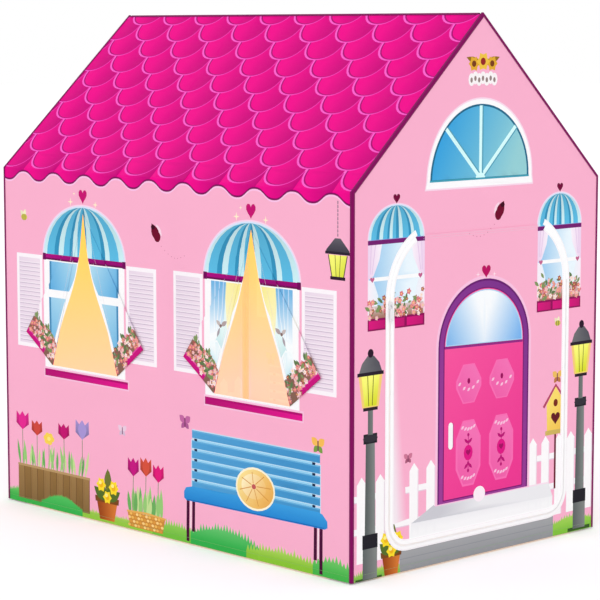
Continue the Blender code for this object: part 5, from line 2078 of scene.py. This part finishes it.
def on_bead(degrees):
    turn = math.radians(degrees)
    return (BEAD_INSET + BEAD * math.cos(turn), BEAD_INSET + BEAD * math.sin(turn))


outer_round = [on_bead(-72 - 7 * n) for n in range(19)]
inner_round = [on_bead(140 - 190 * n / 8) for n in range(9)]
WELT = [(LEG, -LEG_BACK), (LEG, -LEG_FACE), *outer_round, (-LEG_FACE, LEG), (-LEG_BACK, LEG), *inner_round]


def welt(name, corners, insets, depths):
    """A folded tape sewn over a corner: a round bead between two flat legs, one on each cloth."""
    stations = list(zip(corners, insets, depths))
    spots = []
    for here, there in zip(stations, stations[1:]):
        count = math.ceil((there[0] - here[0]).length / BINDING_STEP)
        for n in range(count if there[0] != corners[-1] else count + 1):
            spots.append([start.lerp(end, n / count) for start, end in zip(here, there)])
    def rule(number, share):
        spot, inset, depth = spots[number]
        a, b = WELT[round(share * len(WELT)) % len(WELT)]
        return spot + a * inset + b * depth, (number * BINDING_STEP, share * 4 * LEG)
    return grid_along(name, [plum_tape], len(spots), len(WELT), rule, tube=True)


def up_and_over(inset):
    """The gable's outline as one line, from the left foot over the peak to the right foot."""
    corners = gable(inset)
    return [corners[n] for n in (0, 4, 3, 2, 1)]


def gable_path(inset, y):
    return [Vector((u, y, v)) for u, v in up_and_over(inset)]


bindings = []
for name, end in (("front", -1), ("rear", 1)):
    path = gable_path(0, end * HALF_LENGTH)
    inwards = [(point - start) / MM for start, point in zip(path, gable_path(MM, end * HALF_LENGTH))]
    bindings.append(welt(name + "_gable_tape", path, inwards, [Vector((0, -end, 0))] * 5))
    fitted(bindings[-1:], "tent", "binding", name + "_gable_binding")
ridge = [Vector((0, end * (SIDE_REACH - LEG), RIDGE_HEIGHT)) for end in (-1, 1)]
down_right = Vector((UP_ROOF.x, 0, -UP_ROOF.z))
bindings.append(welt("ridge_tape", ridge, [-UP_ROOF] * 2, [down_right] * 2))
fitted(bindings[-1:], "tent", "binding", "ridge_binding")
print("bindings:", [piece.name for piece in bindings])

# %% [markdown]
# ## Hems and seams
# The last of the sewing: the rows along the bindings, the row along the hem round the foot, a row
# under each window's sill and the rolled hems of the flaps.

# %% Binding rows
HEM_ROW, LEG_ROW = 0.014, 4.5 * MM
RIDGE_ALONG = EAVE_HEIGHT + (RIDGE_HEIGHT - EAVE_HEIGHT) / math.sin(PITCH)
reach, top = HALF_LENGTH - LEG_ROW, RIDGE_ALONG - LEG_ROW
leg_rows = [[(end * reach, HEM + 2 * MM), (end * reach, RIDGE_ALONG - 4 * MM)] for end in (-1, 1)]
leg_rows.append([(4 * MM - reach, top), (reach - 4 * MM, top)])
places = []
for place, rows in (
    (left_place, leg_rows), (right_place, leg_rows),
    (front_place, [up_and_over(LEG_ROW)]), (rear_place, [up_and_over(LEG_ROW)])):
    places += seam(rows, place, LEG_FACE + PROUD)
fitted([copies("binding_stitches", plum_thread, stitch, places)], "tent", "binding")
print("stitches in the bindings:", len(places))

# %% Hem rows
def resting(place, slack):
    """A rule for what is sewn on a hanging cloth, at a height over its own slack."""
    def rule(u, v, out):
        return place(u, v, out + slack(u, v))
    return rule


side_reach, end_reach = HALF_LENGTH - LEG - 2 * MM, HALF_WIDTH - LEG - 2 * MM
places = []
for reach, place, slack in (
    (side_reach, left_place, side_slack), (side_reach, right_place, whole_slack),
    (end_reach, front_place, gable_slack), (end_reach, rear_place, whole_gable_slack)):
    places += seam([[(-reach, HEM_ROW), (reach, HEM_ROW)]], resting(place, slack), PROUD)
hem_stitches = copies("hem_stitches", grass_thread, stitch, places)
below = SILL - 3 * MM
sill_rows = [[(u - WINDOW_HALF, below), (u + WINDOW_HALF, below)] for u in (-WINDOW_ASIDE, WINDOW_ASIDE)]
sills = seam(sill_rows, resting(left_place, side_slack), PROUD)
fitted([hem_stitches, copies("sill_stitches", thread_paint, stitch, sills)], "tent", "side_cloth")
print("stitches in the hems:", len(places))

# %% Rolled hems of the flaps
HEM_ROLL, HEM_STEP, FLAP_ROW = 0.75 * MM, 6 * MM, 8 * MM
for node, across, side, cloth, edge, place, art in flaps:
    spots = spaced(edge + edge[:1], HEM_STEP)
    ways = headings(spots)
    def rolled(number, share):
        spot, way = spots[number], ways[number]
        centre = place(spot.x, spot.y, (GAP + FLAP_OUT) / 2)
        aside = Vector((0, -way.y, -way.x)).normalized()
        turn = math.tau * share
        offset = math.cos(turn) * aside * 0.74 + math.sin(turn) * Vector((-1, 0, 0)) * 0.62
        return centre + HEM_ROLL * offset, (number * HEM_STEP, share * math.tau * HEM_ROLL)
    middle = sum(spots, Vector((0, 0))) / len(spots)
    tones = inks_at([tuple(spot.lerp(middle, 0.02)) for spot in spots], art, WALL_PINK)
    hem_name = cloth.name.replace("cloth", "hem")
    roll = grid_along(hem_name, [print_cloth], len(spots), 8, rolled, tube=True, tones=tones)
    foot, corner, head = (Vector(point) for point in flap_corners(across, side))
    away = Vector((corner.y - head.y, head.x - corner.x)).normalized() * -side * FLAP_ROW
    row = [tuple(corner.lerp(head, share) + away) for share in (0.03, 0.80)]
    places = seam([row], place, FLAP_OUT + PROUD)
    sewn = copies(cloth.name.replace("cloth", "stitches"), thread_paint, stitch, places)
    fitted([roll, sewn], node, "window_cloth")
print("flap hems:", len(flaps))

# %% [markdown]
# ## Poles and connectors
# The frame is white plastic tube with moulded connectors. It is mostly hidden, but it shows through
# the windows, so it gets a satin plastic with a faint cast texture; the poles also get a faint painted glow.

# %% Frame materials
glowing_pole_paint = plain_paint("pole_plastic", (250, 247, 238), 0.34, 0.06, 60, specular=0.5)
glowing_pole_shader = glowing_pole_paint.node_tree.nodes["Principled BSDF"]
# The poles glow faintly warm by emission: painted light, as a pole is no lamp.
glowing_pole_shader.inputs["Emission Color"].default_value = dye((255, 226, 170), 0, 0)
glowing_pole_shader.inputs["Emission Strength"].default_value = 0.10
joint_paint = plain_paint("connector_plastic", (224, 222, 222), 0.42, 0.14, 220, specular=0.5)
metal_paint, metal_tree, metal_shader = paint_of("zip_metal")
metal_place = add(metal_tree, "ShaderNodeTexCoord").outputs["Object"]
scratch = add(metal_tree, "ShaderNodeTexNoise", Scale=900.0, Detail=5.0)
scratches = scratch.outputs["Fac"]
metal_tree.links.new(metal_place, scratch.inputs["Vector"])
dull, bright = dye((222, 221, 225), 0, 0), dye((250, 250, 252), 0, 0)
metal_tint = blend_colours(metal_tree, "MIX", scratches, dull, bright)
metal_tree.links.new(metal_tint, metal_shader.inputs["Base Color"])
metal_rough = math_node(metal_tree, "ADD", 0.22, math_node(metal_tree, "MULTIPLY", scratches, 0.2))
metal_tree.links.new(metal_rough, metal_shader.inputs["Roughness"])
metal_shader.inputs["Metallic"].default_value = 0.2
FINISHES = {
    "connector": joint_paint, "pole": glowing_pole_paint, "rail": glowing_pole_paint, "upright": glowing_pole_paint,
    "rafter": glowing_pole_paint, "zip_slider": metal_paint, "zip_pull_tab": metal_paint,
}
dressed = 0
for name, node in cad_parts.items():
    finish = next((paint for word, paint in FINISHES.items() if word in name), None)
    if finish is None:
        continue
    dressed += 1
    for socket in node.material_slots:
        socket.link = "OBJECT"
        socket.material = finish
print("frame nodes dressed:", dressed)
